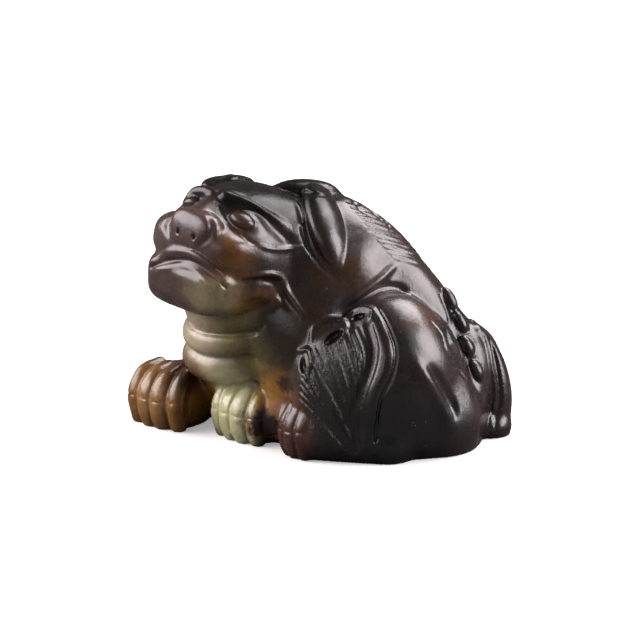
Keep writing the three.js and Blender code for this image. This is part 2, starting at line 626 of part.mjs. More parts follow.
function bestPoint(q, middle) {
  const hold = 1e-3 * (q[0] + q[4] + q[7]) + 1e-9;
  const [xx, yy, zz] = [q[0] + hold, q[4] + hold, q[7] + hold];
  const rows = new THREE.Matrix3().set(xx, q[1], q[2], q[1], yy, q[5], q[2], q[5], zz);
  const right = new THREE.Vector3(
    hold * middle[0] - q[3],
    hold * middle[1] - q[6],
    hold * middle[2] - q[8],
  );
  const best = right.applyMatrix3(rows.invert()).toArray();
  return Math.hypot(...add(best, middle, -1)) < 3 ? best : middle;
}

// Which way a facet looks, and how far it is from a sliver (0.87 when all sides are equal)
function facet(a, b, c) {
  const across = cross(add(b, a, -1), add(c, a, -1));
  const size = Math.hypot(...across) || 1e-12;
  const longest = Math.max(...[[a, b], [b, c], [c, a]].map(([p, q]) => Math.hypot(...add(p, q, -1))));
  return { normal: across.map((v) => v / size), shape: size / (longest * longest || 1e-12) };
}

// A heap that gives back the cheapest entry first
class Heap {
  constructor() {
    this.items = [];
  }

  push(item) {
    const list = this.items;
    let i = list.push(item) - 1;
    while (i > 0) {
      const up = (i - 1) >> 1;
      if (list[up].cost <= item.cost) break;
      list[i] = list[up];
      i = up;
    }
    list[i] = item;
  }

  pop() {
    const list = this.items;
    const top = list[0];
    const last = list.pop();
    if (list.length === 0) return top;
    let i = 0;
    while (true) {
      let child = 2 * i + 1;
      if (child >= list.length) break;
      if (child + 1 < list.length && list[child + 1].cost < list[child].cost) child += 1;
      if (list[child].cost >= last.cost) break;
      list[i] = list[child];
      i = child;
    }
    list[i] = last;
    return top;
  }
}

// Edges are closed up one by one, the least visible first, until target facets are left
function simplify({ points, faces }, target) {
  const sums = points.map(() => new Array(10).fill(0));
  const around = points.map(() => new Set());
  const stamp = new Int32Array(points.length);
  faces.forEach((face, f) => {
    const plane = planeSums(...face.map((v) => points[v]));
    for (const v of face) {
      around[v].add(f);
      for (let i = 0; i < 10; i++) sums[v][i] += plane[i];
    }
  });
  const heap = new Heap();
  const neighbours = (v) => {
    const found = new Set();
    for (const f of around[v]) for (const w of faces[f]) if (w !== v) found.add(w);
    return found;
  };
  const offer = (a, b) => {
    const q = sums[a].map((v, i) => v + sums[b][i]);
    const middle = add(points[a], points[b]).map((v) => v / 2);
    const spot = bestPoint(q, middle);
    const length = Math.hypot(...add(points[a], points[b], -1));
    const cost = errorAt(q, spot) + 1e-7 * length;
    heap.push({ cost, a, b, spot, q, marks: [stamp[a], stamp[b]] });
  };
  const flips = (v, other, spot) => {
    for (const f of around[v]) {
      if (faces[f].includes(other)) continue;
      const before = facet(...faces[f].map((w) => points[w]));
      const after = facet(...faces[f].map((w) => (w === v ? spot : points[w])));
      if (dot(before.normal, after.normal) < 0.2) return true;
      if (after.shape < SLIVER && after.shape < before.shape) return true;
    }
    return false;
  };
  const offerAll = () => {
    faces.forEach((face) => {
      if (face === null) return;
      face.forEach((v, i) => {
        const w = face[(i + 1) % 3];
        if (v < w) offer(v, w);
      });
    });
  };
  let left = faces.length;
  let rounds = 0;
  while (left > target && rounds < 12) {
    if (heap.items.length === 0) {
      offerAll();
      rounds += 1;
    }
    const { a, b, spot, q, marks } = heap.pop();
    if (!around[a] || !around[b] || stamp[a] !== marks[0] || stamp[b] !== marks[1]) continue;
    const ringA = neighbours(a);
    if (!ringA.has(b)) continue;
    const shared = [...neighbours(b)].filter((v) => ringA.has(v));
    if (shared.length !== 2 || flips(a, b, spot) || flips(b, a, spot)) continue;
    for (const f of around[b]) {
      if (faces[f].includes(a)) {
        for (const v of faces[f]) around[v].delete(f);
        faces[f] = null;
        left -= 1;
      } else {
        faces[f] = faces[f].map((v) => (v === b ? a : v));
        around[a].add(f);
      }
    }
    points[a] = spot;
    sums[a] = q;
    around[b] = null;
    stamp[a] += 1;
    for (const v of neighbours(a)) offer(a, v);
  }
  return { points, faces: faces.filter((face) => face !== null) };
}

function geometryOf({ points, faces }) {
  const used = [...new Set(faces.flat())];
  const rank = new Map(used.map((v, i) => [v, i]));
  const kept = used.map((v) => points[v]);
  const low = [0, 1, 2].map((i) => Math.min(...kept.map((p) => p[i])));
  const high = [0, 1, 2].map((i) => Math.max(...kept.map((p) => p[i])));
  const middle = [(low[0] + high[0]) / 2, (low[1] + high[1]) / 2, 0];
  const flat = (p) => (p[2] < SOLE ? [p[0], p[1], 0] : p);
  const placed = kept.map((p) => add(flat(p), middle, -1));
  const geometry = new THREE.BufferGeometry();
  geometry.setAttribute("position", new THREE.Float32BufferAttribute(placed.flat(), 3));
  geometry.setIndex(faces.flat().map((v) => rank.get(v)));
  geometry.computeVertexNormals();
  return geometry;
}

// The field of a stone that is share times as long as the layout
function atSize(field, share) {
  return (x, y, z) => field(x / share, y / share, z / share) * share;
}

const jade = new THREE.MeshStandardMaterial({ color: 0x3a2c2a, roughness: 0.25, metalness: 0 });
const share = LENGTH / LAYOUT_LENGTH;
const field = atSize(beast(), share);
const [low, high] = ROOM.map((corner) => corner.map((v) => v * share));
const surface = relax(field, polygonise(field, low, high, GRID * share));
const stone = new THREE.Mesh(geometryOf(simplify(surface, FACETS)), jade);
stone.name = "jade_beast";

const group = new THREE.Group();
group.name = "jade_mythical_beast";
group.add(stone);

export default group;
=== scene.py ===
import math
import bpy
import numpy as np
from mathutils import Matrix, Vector
from mathutils.bvhtree import BVHTree


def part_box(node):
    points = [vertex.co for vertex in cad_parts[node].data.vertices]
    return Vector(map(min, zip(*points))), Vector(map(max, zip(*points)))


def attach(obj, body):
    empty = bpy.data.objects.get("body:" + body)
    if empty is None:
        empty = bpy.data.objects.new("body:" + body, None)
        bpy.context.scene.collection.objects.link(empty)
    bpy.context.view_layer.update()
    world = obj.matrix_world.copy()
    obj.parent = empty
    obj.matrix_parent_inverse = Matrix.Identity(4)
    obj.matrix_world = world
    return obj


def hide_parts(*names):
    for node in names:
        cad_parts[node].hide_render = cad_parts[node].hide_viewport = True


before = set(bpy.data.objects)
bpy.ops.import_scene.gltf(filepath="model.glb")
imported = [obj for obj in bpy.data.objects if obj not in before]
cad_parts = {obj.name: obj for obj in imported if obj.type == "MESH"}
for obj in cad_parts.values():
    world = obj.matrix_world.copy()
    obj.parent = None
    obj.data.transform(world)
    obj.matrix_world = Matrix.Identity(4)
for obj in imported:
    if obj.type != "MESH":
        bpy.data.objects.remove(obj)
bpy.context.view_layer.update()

# A crouching mythical beast carved from one pebble of dark jade, head turned to its own left.
# The stone is sculpted as one field of balls, rods and carved lines in layout millimetres,
# turned into a mesh and brought into the CAD frame by its length.

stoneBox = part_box("jade_beast")

layout = {
    "tilt": 17,  # degrees the drawing looks down
    "unit": 5.6,  # drawing units in one millimetre
    "originX": 319.5,
    "originY": 431,
    "spine": 3.4,  # Y of the plane through the backbone
}


def unitVector(v):
    v = np.asarray(v, float)
    return v / np.linalg.norm(v)


def turned(yaw, pitch=0, roll=0):  # rows: forward, left, up
    yaw, pitch, roll = np.radians([yaw, pitch, roll])
    forward = np.array([-np.cos(yaw) * np.cos(pitch), -np.sin(yaw) * np.cos(pitch), np.sin(pitch)])
    left = np.array([np.sin(yaw), -np.cos(yaw), 0])
    up = np.cross(forward, left)
    return np.array([
        forward,
        left * np.cos(roll) - up * np.sin(roll),
        up * np.cos(roll) + left * np.sin(roll),
    ])


class Place:  # a spot in the layout with axes of its own
    def __init__(self, at, axes):
        self.at = np.array(at, float)
        self.axes = np.array(axes, float)

    def out(self, points):  # from its own axes to the layout's
        return self.at + np.asarray(points, float) @ self.axes

    def into(self, points):
        return (np.asarray(points, float) - self.at) @ self.axes.T


layoutPlace = Place((0, 0, 0), np.eye(3))


def smoothCurve(rows, steps=6):  # Catmull-Rom through rows of numbers
    p = np.asarray(rows, float)
    if len(p) == 2:
        return p
    q = np.vstack([2 * p[0] - p[1], p, 2 * p[-1] - p[-2]])
    out = []
    for i in range(len(p) - 1):
        a, b, c, d = q[i : i + 4]
        for t in np.arange(steps) / steps:
            bend = (2 * a - 5 * b + 4 * c - d) * t**2
            twist = (3 * b - a - 3 * c + d) * t**3
            out.append(0.5 * (2 * b + (c - a) * t + bend + twist))
    out.append(p[-1])
    return np.array(out)


def smoothMin(a, b, k):
    if k == 0:
        return np.minimum(a, b)
    h = np.clip(0.5 + 0.5 * (b - a) / k, 0, 1)
    return b + (a - b) * h - k * h * (1 - h)


class Stone:  # distance to the stone at many points, shape by shape
    def __init__(self, points):
        self.points = np.asarray(points, np.float32)
        self.distance = np.full(len(points), 50, np.float32)

    def near(self, low, high):
        x = self.points[:, 0]
        ids = np.flatnonzero((x > low[0]) & (x < high[0]))
        y, z = self.points[ids, 1], self.points[ids, 2]
        return ids[(y > low[1]) & (y < high[1]) & (z > low[2]) & (z < high[2])]

    def merge(self, ids, distance, blend, cut=False):
        if cut:
            self.distance[ids] = -smoothMin(-self.distance[ids], distance, blend)
        else:
            self.distance[ids] = smoothMin(self.distance[ids], distance, blend)

    def ball(self, at, radii, axes=None, blend=2.0, place=layoutPlace, power=2.0, cut=False):
        centre = place.out(at)
        radii = np.asarray(radii, np.float32)
        axes = (np.eye(3) if axes is None else np.asarray(axes, float)) @ place.axes
        reach = np.sqrt(((axes * radii[:, None]) ** 2).sum(0)) + blend + 3
        ids = self.near(centre - reach, centre + reach)
        local = (self.points[ids] - centre.astype(np.float32)) @ axes.T.astype(np.float32)
        if power == 2:
            inner = np.sqrt(((local / radii) ** 2).sum(1))
            slope = np.sqrt(((local / radii**2) ** 2).sum(1)) + 1e-6
            distance = inner * (inner - 1) / slope
        else:  # a higher power is boxier
            inner = ((np.abs(local) / radii) ** power).sum(1) ** (1 / power)
            distance = np.sqrt((local**2).sum(1)) * (1 - 1 / np.maximum(inner, 1e-3))
        self.merge(ids, distance, blend, cut)

    def chain(self, ids, path, radii, squash=None):  # distance, and the share of the way along
        points = self.points[ids]
        if squash is not None:  # an axis, and how thin the chain is along it
            axis = unitVector(squash[0]).astype(np.float32)
            stretch = np.float32(1 / squash[1] - 1)
            points = points + ((points @ axis) * stretch)[:, None] * axis
            path = path + ((path @ axis) * stretch)[:, None] * axis
        nearest = np.full(len(points), 1e3, np.float32)
        along = np.zeros(len(points), np.float32)
        links = len(path) - 1
        for i in range(links):
            start, end = path[i].astype(np.float32), path[i + 1].astype(np.float32)
            way = end - start
            t = np.clip(((points - start) @ way) / max(float(way @ way), 1e-9), 0, 1)
            off = points - start - t[:, None] * way
            distance = np.sqrt((off**2).sum(1)) - (radii[i] + (radii[i + 1] - radii[i]) * t)
            closer = distance < nearest
            nearest[closer] = distance[closer]
            along[closer] = (i + t[closer]) / links
        return nearest * np.float32(math.sqrt(squash[1]) if squash else 1), along

    def rod(self, path, radii, blend=1.5, place=layoutPlace, squash=None):
        rows = smoothCurve(np.column_stack([[place.out(spot) for spot in path], radii]))
        path, radii = rows[:, :3], rows[:, 3]
        reach = radii[:, None] + blend + 2
        ids = self.near((path - reach).min(0), (path + reach).max(0))
        distance, _ = self.chain(ids, path, radii, squash)
        self.merge(ids, distance, blend)

    def line(self, path, width, height, ends):  # raised, or cut where the height is negative
        path = smoothCurve(path, steps=5)
        ids = self.near(path.min(0) - width * 2.5, path.max(0) + width * 2.5)
        if len(ids) == 0:
            return
        away, along = self.chain(ids, path, np.zeros(len(path)))
        # The height fades over the first and the last quarter
        fade = ends[0] + (1 - ends[0]) * np.clip(along / 0.25, 0, 1)
        fade = fade * (ends[1] + (1 - ends[1]) * np.clip((1 - along) / 0.25, 0, 1))
        profile = np.exp(-1.6 * (away / np.float32(width)) ** 2)
        self.distance[ids] -= (height * profile * fade).astype(np.float32)


# Named masses, one after the other: a rod where there is a path, else a ball
def addMasses(s, masses, place=layoutPlace):
    for mass in masses.values():
        if "path" in mass:
            s.rod(**mass, place=place)
        else:
            s.ball(**mass, place=place)


# Mesh of a field: a coarse grid finds the skin, a fine one is filled only there
def skinOf(field, low, high, step, coarse=3):
    low, high = np.asarray(low, float), np.asarray(high, float)
    big = step * coarse
    n = np.ceil((high - low) / big).astype(int) + 1
    corners = np.stack(np.meshgrid(*[np.arange(m) for m in n], indexing="ij"), -1).reshape(-1, 3)
    d = field(low + corners * big).reshape(n)
    band = np.abs(d) < big * 1.8
    fine = (n - 1) * coarse + 1
    values = np.where(d < 0, np.float32(-big), np.float32(big))
    for axis in range(3):
        values = np.repeat(values, coarse, axis)
    values = values[: fine[0], : fine[1], : fine[2]]
    cells = np.zeros(n - 1, bool)
    for i, j, k in np.ndindex(2, 2, 2):
        cells |= band[i : n[0] - 1 + i, j : n[1] - 1 + j, k : n[2] - 1 + k]
    for axis in range(3):
        cells = np.repeat(cells, coarse, axis)
    wanted = np.zeros(fine, bool)
    for i, j, k in np.ndindex(2, 2, 2):
        wanted[i : fine[0] - 1 + i, j : fine[1] - 1 + j, k : fine[2] - 1 + k] |= cells
    ids = np.argwhere(wanted)
    values[tuple(ids.T)] = field(low + ids * step)
    values[values == 0] = 1e-6
    points, faces = surfaceNets(values)
    return low + points * step, faces


def surfaceNets(values):
    inside = (values < 0).astype(np.uint8)
    nx, ny, nz = values.shape
    filled = np.zeros((nx - 1, ny - 1, nz - 1), np.uint8)
    for i, j, k in np.ndindex(2, 2, 2):
        filled += inside[i : nx - 1 + i, j : ny - 1 + j, k : nz - 1 + k]
    active = (filled > 0) & (filled < 8)
    cells = np.argwhere(active)
    index = np.full(active.shape, -1, np.int32)
    index[tuple(cells.T)] = np.arange(len(cells))
    total = np.zeros((len(cells), 3), np.float32)
    count = np.zeros(len(cells), np.float32)
    for axis in range(3):
        side = [a for a in range(3) if a != axis]
        for m, n in np.ndindex(2, 2):
            a = cells.copy()
            a[:, side[0]] += m
            a[:, side[1]] += n
            b = a.copy()
            b[:, axis] += 1
            va, vb = values[tuple(a.T)], values[tuple(b.T)]
            crossed = (va < 0) != (vb < 0)
            spot = a[crossed].astype(np.float32)
            spot[:, axis] += va[crossed] / (va[crossed] - vb[crossed])
            total[crossed] += spot
            count[crossed] += 1
    faces = []
    for axis in range(3):
        one, two = (axis + 1) % 3, (axis + 2) % 3
        span = [slice(1, -1)] * 3
        span[axis] = slice(0, values.shape[axis] - 1)
        after = list(span)
        after[axis] = slice(1, values.shape[axis])
        a, b = inside[tuple(span)], inside[tuple(after)]
        edges = np.argwhere(a != b)
        flip = a[tuple(edges.T)] == 0
        edges = edges + np.array([s.start for s in span])
        ring = []
        for m, n in ((-1, -1), (0, -1), (0, 0), (-1, 0)):
            cell = edges.copy()
            cell[:, one] += m
            cell[:, two] += n
            ring.append(index[tuple(cell.T)])
        ring = np.stack(ring, 1)
        ring[flip] = ring[flip][:, ::-1]
        faces.append(ring)
    return total / count[:, None], np.vstack(faces)


# Places of the drawing carried onto the plain masses along the line of sight
class Drawing:
    def __init__(self, points, faces):
        self.tree = BVHTree.FromPolygons(points.tolist(), faces.tolist())
        tilt = math.radians(layout["tilt"])
        self.rise = np.array([0, math.sin(tilt), math.cos(tilt)])
        self.sight = np.array([0, -math.cos(tilt), math.sin(tilt)])

    def mirrored(self, p):
        return np.array([p[0], 2 * layout["spine"] - p[1], p[2]])

    def onto(self, flat, far=False, depth=0):
        out = []
        for across, down in np.asarray(flat, float).reshape(-1, 2):
            x = (across - layout["originX"]) / layout["unit"]
            start = np.array([x, 0, 0]) + self.rise * (layout["originY"] - down) / layout["unit"]
            start = start + self.sight * 60
            way = -self.sight
            if far:
                start = self.mirrored(start)
                way = way * np.array([1, -1, 1])
            hit = self.tree.ray_cast(Vector(start), Vector(way))[0]
            if hit is None:  # a line of sight that misses takes the skin it passes nearest
                spots = [start + way * s for s in np.arange(20, 100, 1)]
                found = [self.tree.find_nearest(Vector(s)) for s in spots]
                hit = min(found, key=lambda f: f[3])[0]
            out.append(np.array(hit) + way * depth)
        return np.array(out)

    def settle(self, points, depth=0):
        out = []
        for p in points:
            spot, normal, _, _ = self.tree.find_nearest(Vector(p))
            out.append(np.array(spot) - np.array(normal) * depth)
        return np.array(out)


headSizes = {
    "at": (-18.3, -5.0, 43.1),  # between the eyes
    "yaw": 47,
    "pitch": 12,
    "roll": 4,
    "muzzleHalf": 10.7,
    "noseHalf": 5.5,
    "eyeSpacing": 12,
    "chinSlant": 14,
}
headPlace = Place(headSizes["at"], turned(headSizes["yaw"], headSizes["pitch"], headSizes["roll"]))


def flipHead(points):
    return headPlace.out(headPlace.into(points) * np.array([1, -1, 1]))


trunk = {
    "neck": {
        "path": [(-11.5, 7.5, 3), (-13, 6, 10), (-13.2, 2, 17), (-11, 0, 28)],
        "radii": [6.3, 8.2, 9.2, 9.6],
        "blend": 0,
    },
    "ribs": {
        "path": [(1, 4, 25), (12, 3.5, 14.4)],
        "radii": [14.8, 12.6],
        "blend": 4,
        "squash": ((0, 1, 0), 0.9),
    },
    "belly": {"at": (6, 4, 6), "radii": (20, 15.5, 11), "blend": 4},
    "loins": {"at": (18.5, 3, 8), "radii": (10, 11, 11.5), "blend": 3},
    "rump": {"at": (26.6, 2, 8.6), "radii": (5, 7.6, 10.4), "blend": 2.5},
    "nape": {"path": [(-6, 2, 33), (2, 4.5, 29.5)], "radii": [9.8, 11.2], "blend": 3},
    "backbone": {
        "path": [(2.7, 4, 37.1), (11, 3.6, 31.6), (15.9, 3.4, 25.5), (19.5, 3.2, 20.5),
                 (22, 3, 16.3), (24.1, 2.6, 11.2), (25.3, 2.4, 6)],
        "radii": [5.2] * 7,
        "blend": 3,
    },
}

# Rolls of skin round the throat; the reach is measured from the middle of the neck there
throat = {
    "rolls": [
        {"middle": (-12.9, 0.8), "height": 23.5, "thick": 3.1, "reach": 8.1},
        {"middle": (-13.2, 1.8), "height": 18.5, "thick": 2.4, "reach": 8.9},
        {"middle": (-13.2, 3.4), "height": 13.6, "thick": 3.1, "reach": 8.3},
    ],
    "angles": [135, 165, 195, 225, 255, 285, 312],  # round the neck, from the far side to the near one
    "sag": [0.6, 0.1, -0.4, -0.5, 0.1, 1.0, 1.8],
    "fade": [0.7, 0.95, 1, 1, 1, 0.92, 0.6],
    "drawIn": 0.4,  # how much of the fade the reach takes
    "blend": 0.25,
    # Shares of a roll's thickness, for the filling that leans out from under the roll above
    "filling": {"raise": 0.55, "inward": 0.35, "thickness": 0.95, "blend": 1.2},
    "crease": {"lower": 0.85, "outward": 1, "width": 0.45, "height": -0.8, "ends": (0.3, 0.1)},
    "side": {"at": (-6.5, -4.5, 21), "radii": (6, 6.6, 8), "blend": 2.5},
}


def throatPath(roll, lower=0, inward=0):
    x, y = roll["middle"]
    path = []
    for angle, sag, fade in zip(throat["angles"], throat["sag"], throat["fade"]):
        a = math.radians(angle)
        r = roll["reach"] * (1 + throat["drawIn"] * (fade - 1)) - inward
        path.append((x + r * math.cos(a), y + r * math.sin(a), roll["height"] + sag - lower))
    return path


def addThroat(s):
    for roll in throat["rolls"]:
        s.rod(throatPath(roll), [roll["thick"] * fade for fade in throat["fade"]], throat["blend"])
    filling = throat["filling"]
    for roll in throat["rolls"]:
        thick = roll["thick"]
        path = throatPath(roll, lower=-filling["raise"] * thick, inward=filling["inward"] * thick)
        s.rod(path, [filling["thickness"] * thick * fade for fade in throat["fade"]], filling["blend"])
    s.ball(**throat["side"])


def facing(around, up):  # degrees right of the drawing and up; rows: outward, to the right, upward
    a, e = math.radians(around), math.radians(up)
    out = np.array([math.sin(a) * math.cos(e), -math.cos(a) * math.cos(e), math.sin(e)])
    right = np.array([math.cos(a), math.sin(a), 0])
    return np.array([out, right, np.cross(out, right)])


legs = {
    "nearShoulder": {"at": (-1.5, -5, 16), "radii": (9.5, 8.6, 14), "blend": 3},
    "nearForearm": {"path": [(-10.5, -3.4, 4.4), (-3, -7.5, 5.6)], "radii": [4.4, 6], "blend": 2},
    "farForearm": {"path": [(-25, 6.5, 5.2), (-15, 12, 6.5)], "radii": [5, 6.3], "blend": 2},
    "farShoulder": {"at": (-3, 13, 14), "radii": (10, 8, 13), "blend": 3},
    "nearKnee": {"at": (4, -10.4, 10.6), "radii": (9.8, 9.2, 13.8), "blend": 1},
    "farKnee": {"at": (3.8, 15.2, 11.5), "radii": (9.2, 8.4, 13), "blend": 1},
    "nearShin": {"path": [(0, -14, 4.2), (12, -15, 3)], "radii": [5, 5.2], "blend": 1.5},
    "farShin": {"path": [(-1, 18, 4.2), (12, 18, 3)], "radii": [4.6, 5.2], "blend": 1.5},
    "nearHaunch": {"at": (12, -7.5, 10.5), "radii": (13.2, 12.5, 17.6), "blend": 0.9},
    "nearSeat": {"at": (20, -4.2, 4), "radii": (9.5, 12, 11), "blend": 2.5},
    "farHaunch": {"at": (11, 13.5, 9.5), "radii": (13.6, 11.5, 14.5), "blend": 1.2},
    "farSeat": {"at": (20, 10, 4), "radii": (9.5, 11, 10.5), "blend": 2.5},
    "flank": {  # the flat behind the near haunch
        "at": (18.4, -5.9, 9.5),
        "radii": (9, 6.5, 13),
        "axes": facing(43, 25),
        "blend": 1.5,
        "power": 3,
    },
}


# Brow on the near side, and on the far side where it arches over the eye; forward, left, up
brows = {
    "near": [(-0.6, 1.6, 2.1), (-2.4, 4.4, 1.9), (-4.4, 7, 1), (-8.4, 9.2, -1), (-13, 10.4, -3.6)],
    "far": [(-0.6, -1.4, 1.6), (-0.8, -3.6, 1.7), (-0.7, -5.8, 1.0), (-0.9, -7.0, -0.7), (-5, -9.6, -3.2)],
    "nearRadii": [1.3, 1.0, 0.8, 0.65, 0.5],
    "farRadii": [1.3, 1.2, 1.1, 0.9, 0.6],
    "nearBlend": 0.7,
    "farBlend": 0.5,
}


def slanted(degrees):  # the head's axes, tipped down at the front
    a = math.radians(degrees)
    return np.array([(math.cos(a), 0, -math.sin(a)), (0, 1, 0), (math.sin(a), 0, math.cos(a))])


head = {
    "skull": {"at": (-8, 0, -5.4), "radii": (11.6, 10.8, 7.8), "blend": 3},
    "forehead": {"at": (-10, -0.5, -2.6), "radii": (10, 9.6, 6.8), "blend": 2.5},
    "muzzle": {
        "at": (-1, -0.4, -6.9),
        "radii": (7.6, headSizes["muzzleHalf"], 5.1),
        "blend": 2.2,
        "power": 2.7,
    },
    "lowerJaw": {
        "at": (-1.7, 0, -13),
        "radii": (8, 10, 4.9),
        "axes": slanted(headSizes["chinSlant"]),
        "blend": 1.4,
        "power": 3.8,
    },
    "jowls": {"at": (-7.5, 0, -11), "radii": (9.3, 11.4, 7.4), "blend": 3},
    "bridge": {"path": [(2.6, 0, -2.4), (-2.5, 0, 0.6)], "radii": [3, 2.6], "blend": 1.8},
    "nosePad": {
        "at": (4.4, 0.6, -4.1),
        "radii": (2.7, headSizes["noseHalf"], 3.7),
        "blend": 0.5,
        "power": 2.7,
    },
}

# What the head has on both sides, given for its left
cheek = {"at": (-4.5, 5.6, -8), "radii": (6, 6.2, 6), "blend": 2.5}
eyeSocket = {"at": (-2.6, 5.2, -1.5), "radii": (2.9, 3.5, 2.1), "blend": 2}
eye = {
    "forward": -0.5,
    "up": -0.9,
    "shift": 0.4,  # both eyes sit this far to the left
    "radii": (2.5, 1.45, 1.9),
    "along": (-0.35, 0.93, -0.2),
    "blend": 0.15,
}


def addHead(s):
    addMasses(s, head, headPlace)
    for side in (-1, 1):
        flip = np.array([1, side, 1])
        for mass in (cheek, eyeSocket):
            s.ball(mass["at"] * flip, mass["radii"], place=headPlace, blend=mass["blend"])
        along = unitVector(eye["along"] * flip)
        out = unitVector(np.cross(along, (0.1, 0.1 * side, 1)))
        axes = np.array([along, np.cross(out, along), out])
        at = (eye["forward"], headSizes["eyeSpacing"] / 2 * side + eye["shift"], eye["up"])
        s.ball(at, eye["radii"], axes=axes, place=headPlace, blend=eye["blend"])
    s.rod(brows["near"], brows["nearRadii"], brows["nearBlend"], place=headPlace)
    s.rod(brows["far"], brows["farRadii"], brows["farBlend"], place=headPlace)


def bodyField(points):
    s = Stone(points)
    addMasses(s, trunk)
    addThroat(s)
    addMasses(s, legs)
    addHead(s)
    return s.distance


paws = {
    "farFore": {"at": (-26, 6.4, 0), "yaw": 50, "width": 12.6, "length": 6.6, "height": 10.6},
    "nearFore": {"at": (-11.0, -1.9, 0), "yaw": 45, "width": 12, "length": 6.8, "height": 10.4},
    "nearHind": {"at": (-1.0, -12.0, 0), "yaw": 32, "width": 8.4, "length": 6.2, "height": 10.2},
    "farHind": {"at": (-3.4, 17.5, 0), "yaw": -8, "width": 9.6, "length": 6.2, "height": 9.8},
}

# Lengths, widths and heights here are shares of the paw's own
toes = {
    "shape": ((0.02, 0.82, 0.94), (0.55, 0.95, 0.83), (0.84, 1, 0.5), (0.72, 0.97, 0.1)),
    "fatness": (0.7, 0.95, 1.05, 1),
    "fat": 0.5,  # of a toe's share of the width
    "blend": 0.7,
    "core": (1.1, 0.53, 0.58),
    "coreHeight": 0.42,
    "coreBack": 0.2,
    "coreBlend": 1.2,
    "corePower": 2.4,
    "groove": (0.3, -0.55, (0.1, 1)),  # width, height and ends of the line between two toes
    "clawEdge": (0.2, -0.4, (0.4, 0.4)),
    "clawReach": 0.32,  # half the edge, in toes
    "clawSteps": 8,  # from one point of a toe's shape to the next
    "clawStart": 16,  # the step at which the claw begins
}


def toePath(paw, row):  # whole rows are toes, halves lie between them
    across = (row - 1.5) * paw["width"] / 4
    back = 0.3 * abs(row - 1.5) ** 1.9
    return [
        (ahead * paw["length"] - back, across * spread, paw["height"] * up)
        for ahead, spread, up in toes["shape"]
    ]


def addPaws(s):
    for paw in paws.values():
        place = Place(paw["at"], turned(paw["yaw"]))
        long, wide, high = toes["core"]
        core = (paw["length"] * long, paw["width"] * wide, paw["height"] * high)
        at = (-toes["coreBack"], 0, paw["height"] * toes["coreHeight"])
        s.ball(at, core, place=place, blend=toes["coreBlend"], power=toes["corePower"])
        fat = paw["width"] / 4 * toes["fat"]
        for row in range(4):
            s.rod(toePath(paw, row), [share * fat for share in toes["fatness"]], toes["blend"], place=place)


def pawLines(drawing):  # grooves between the toes and the edge of each claw
    for paw in paws.values():
        place = Place(paw["at"], turned(paw["yaw"]))
        for row in (0.5, 1.5, 2.5):
            yield (drawing.settle(place.out(toePath(paw, row))), *toes["groove"])
        for row in range(4):
            across = row + np.array([-toes["clawReach"], 0, toes["clawReach"]])
            path = [smoothCurve(toePath(paw, r), toes["clawSteps"])[toes["clawStart"]] for r in across]
            yield (drawing.settle(place.out(path)), *toes["clawEdge"])


ears = {
    "near": (318, 203, 324, 219, 329, 237, 334, 255, 341, 272),  # middle of the leaf, on the drawing
    "far": [(-10, -7.6, 2), (-14, -9.2, 1.4), (-17.5, -12, -3), (-18.5, -12.5, -7), (-19.5, -12.5, -10.5)],
    "nearSunk": 1.2,
    "farSunk": 1,
    "radii": [3.4, 4.3, 4.1, 2.8, 0.8],
    "flatness": 0.62,
    "facesFrom": (-8, 4, 32),
    "blend": 0.3,
    "farRoot": {"at": (-12.3, -8.4, 1.5), "radii": (6.8, 3.4, 1.9), "blend": 0.5},
}


def earPaths(bodyDrawing):
    near = bodyDrawing.onto(ears["near"], depth=ears["nearSunk"])
    far = bodyDrawing.settle(headPlace.out(ears["far"]), ears["farSunk"])
    return [near, far]


def addEars(s, paths):
    for path in paths:
        squash = (path[1] - np.array(ears["facesFrom"]), ears["flatness"])
        s.rod(path, ears["radii"], ears["blend"], squash=squash)
    s.ball(**ears["farRoot"], place=headPlace)


horn = {
    "path": [(-9.5, 4.8, 42.4), (-5, 5.8, 43.2), (0, 7, 42.6), (3, 8, 40.9)],
    "radii": [1, 2.5, 2.6, 1.6],
    "blend": 0.4,
    "squash": ((0, 0, 1), 0.66),
}

tail = {
    "lobes": 3,
    "first": (31.4, 0.2, 17.8),  # foot of the first lobe, and how high its tip is
    "step": (-0.4, 3.5, -0.6),  # from lobe to lobe
    "radii": [2.4, 2.9, 2.7, 1.7],
    "blend": 0.4,
    "root": {"at": (29.5, -1.5, 1.5), "radii": (4.6, 3.6, 3), "blend": 1},
}


def addTail(s):
    for i in range(tail["lobes"]):
        x, y, top = [first + step * i for first, step in zip(tail["first"], tail["step"])]
        path = [(x, y - 1.6, 0.5), (x, y - 0.2, 7), (x - 1.4, y + 0.8, 13), (x - 3.8, y + 1.4, top)]
        s.rod(path, tail["radii"], tail["blend"])
    s.ball(**tail["root"])


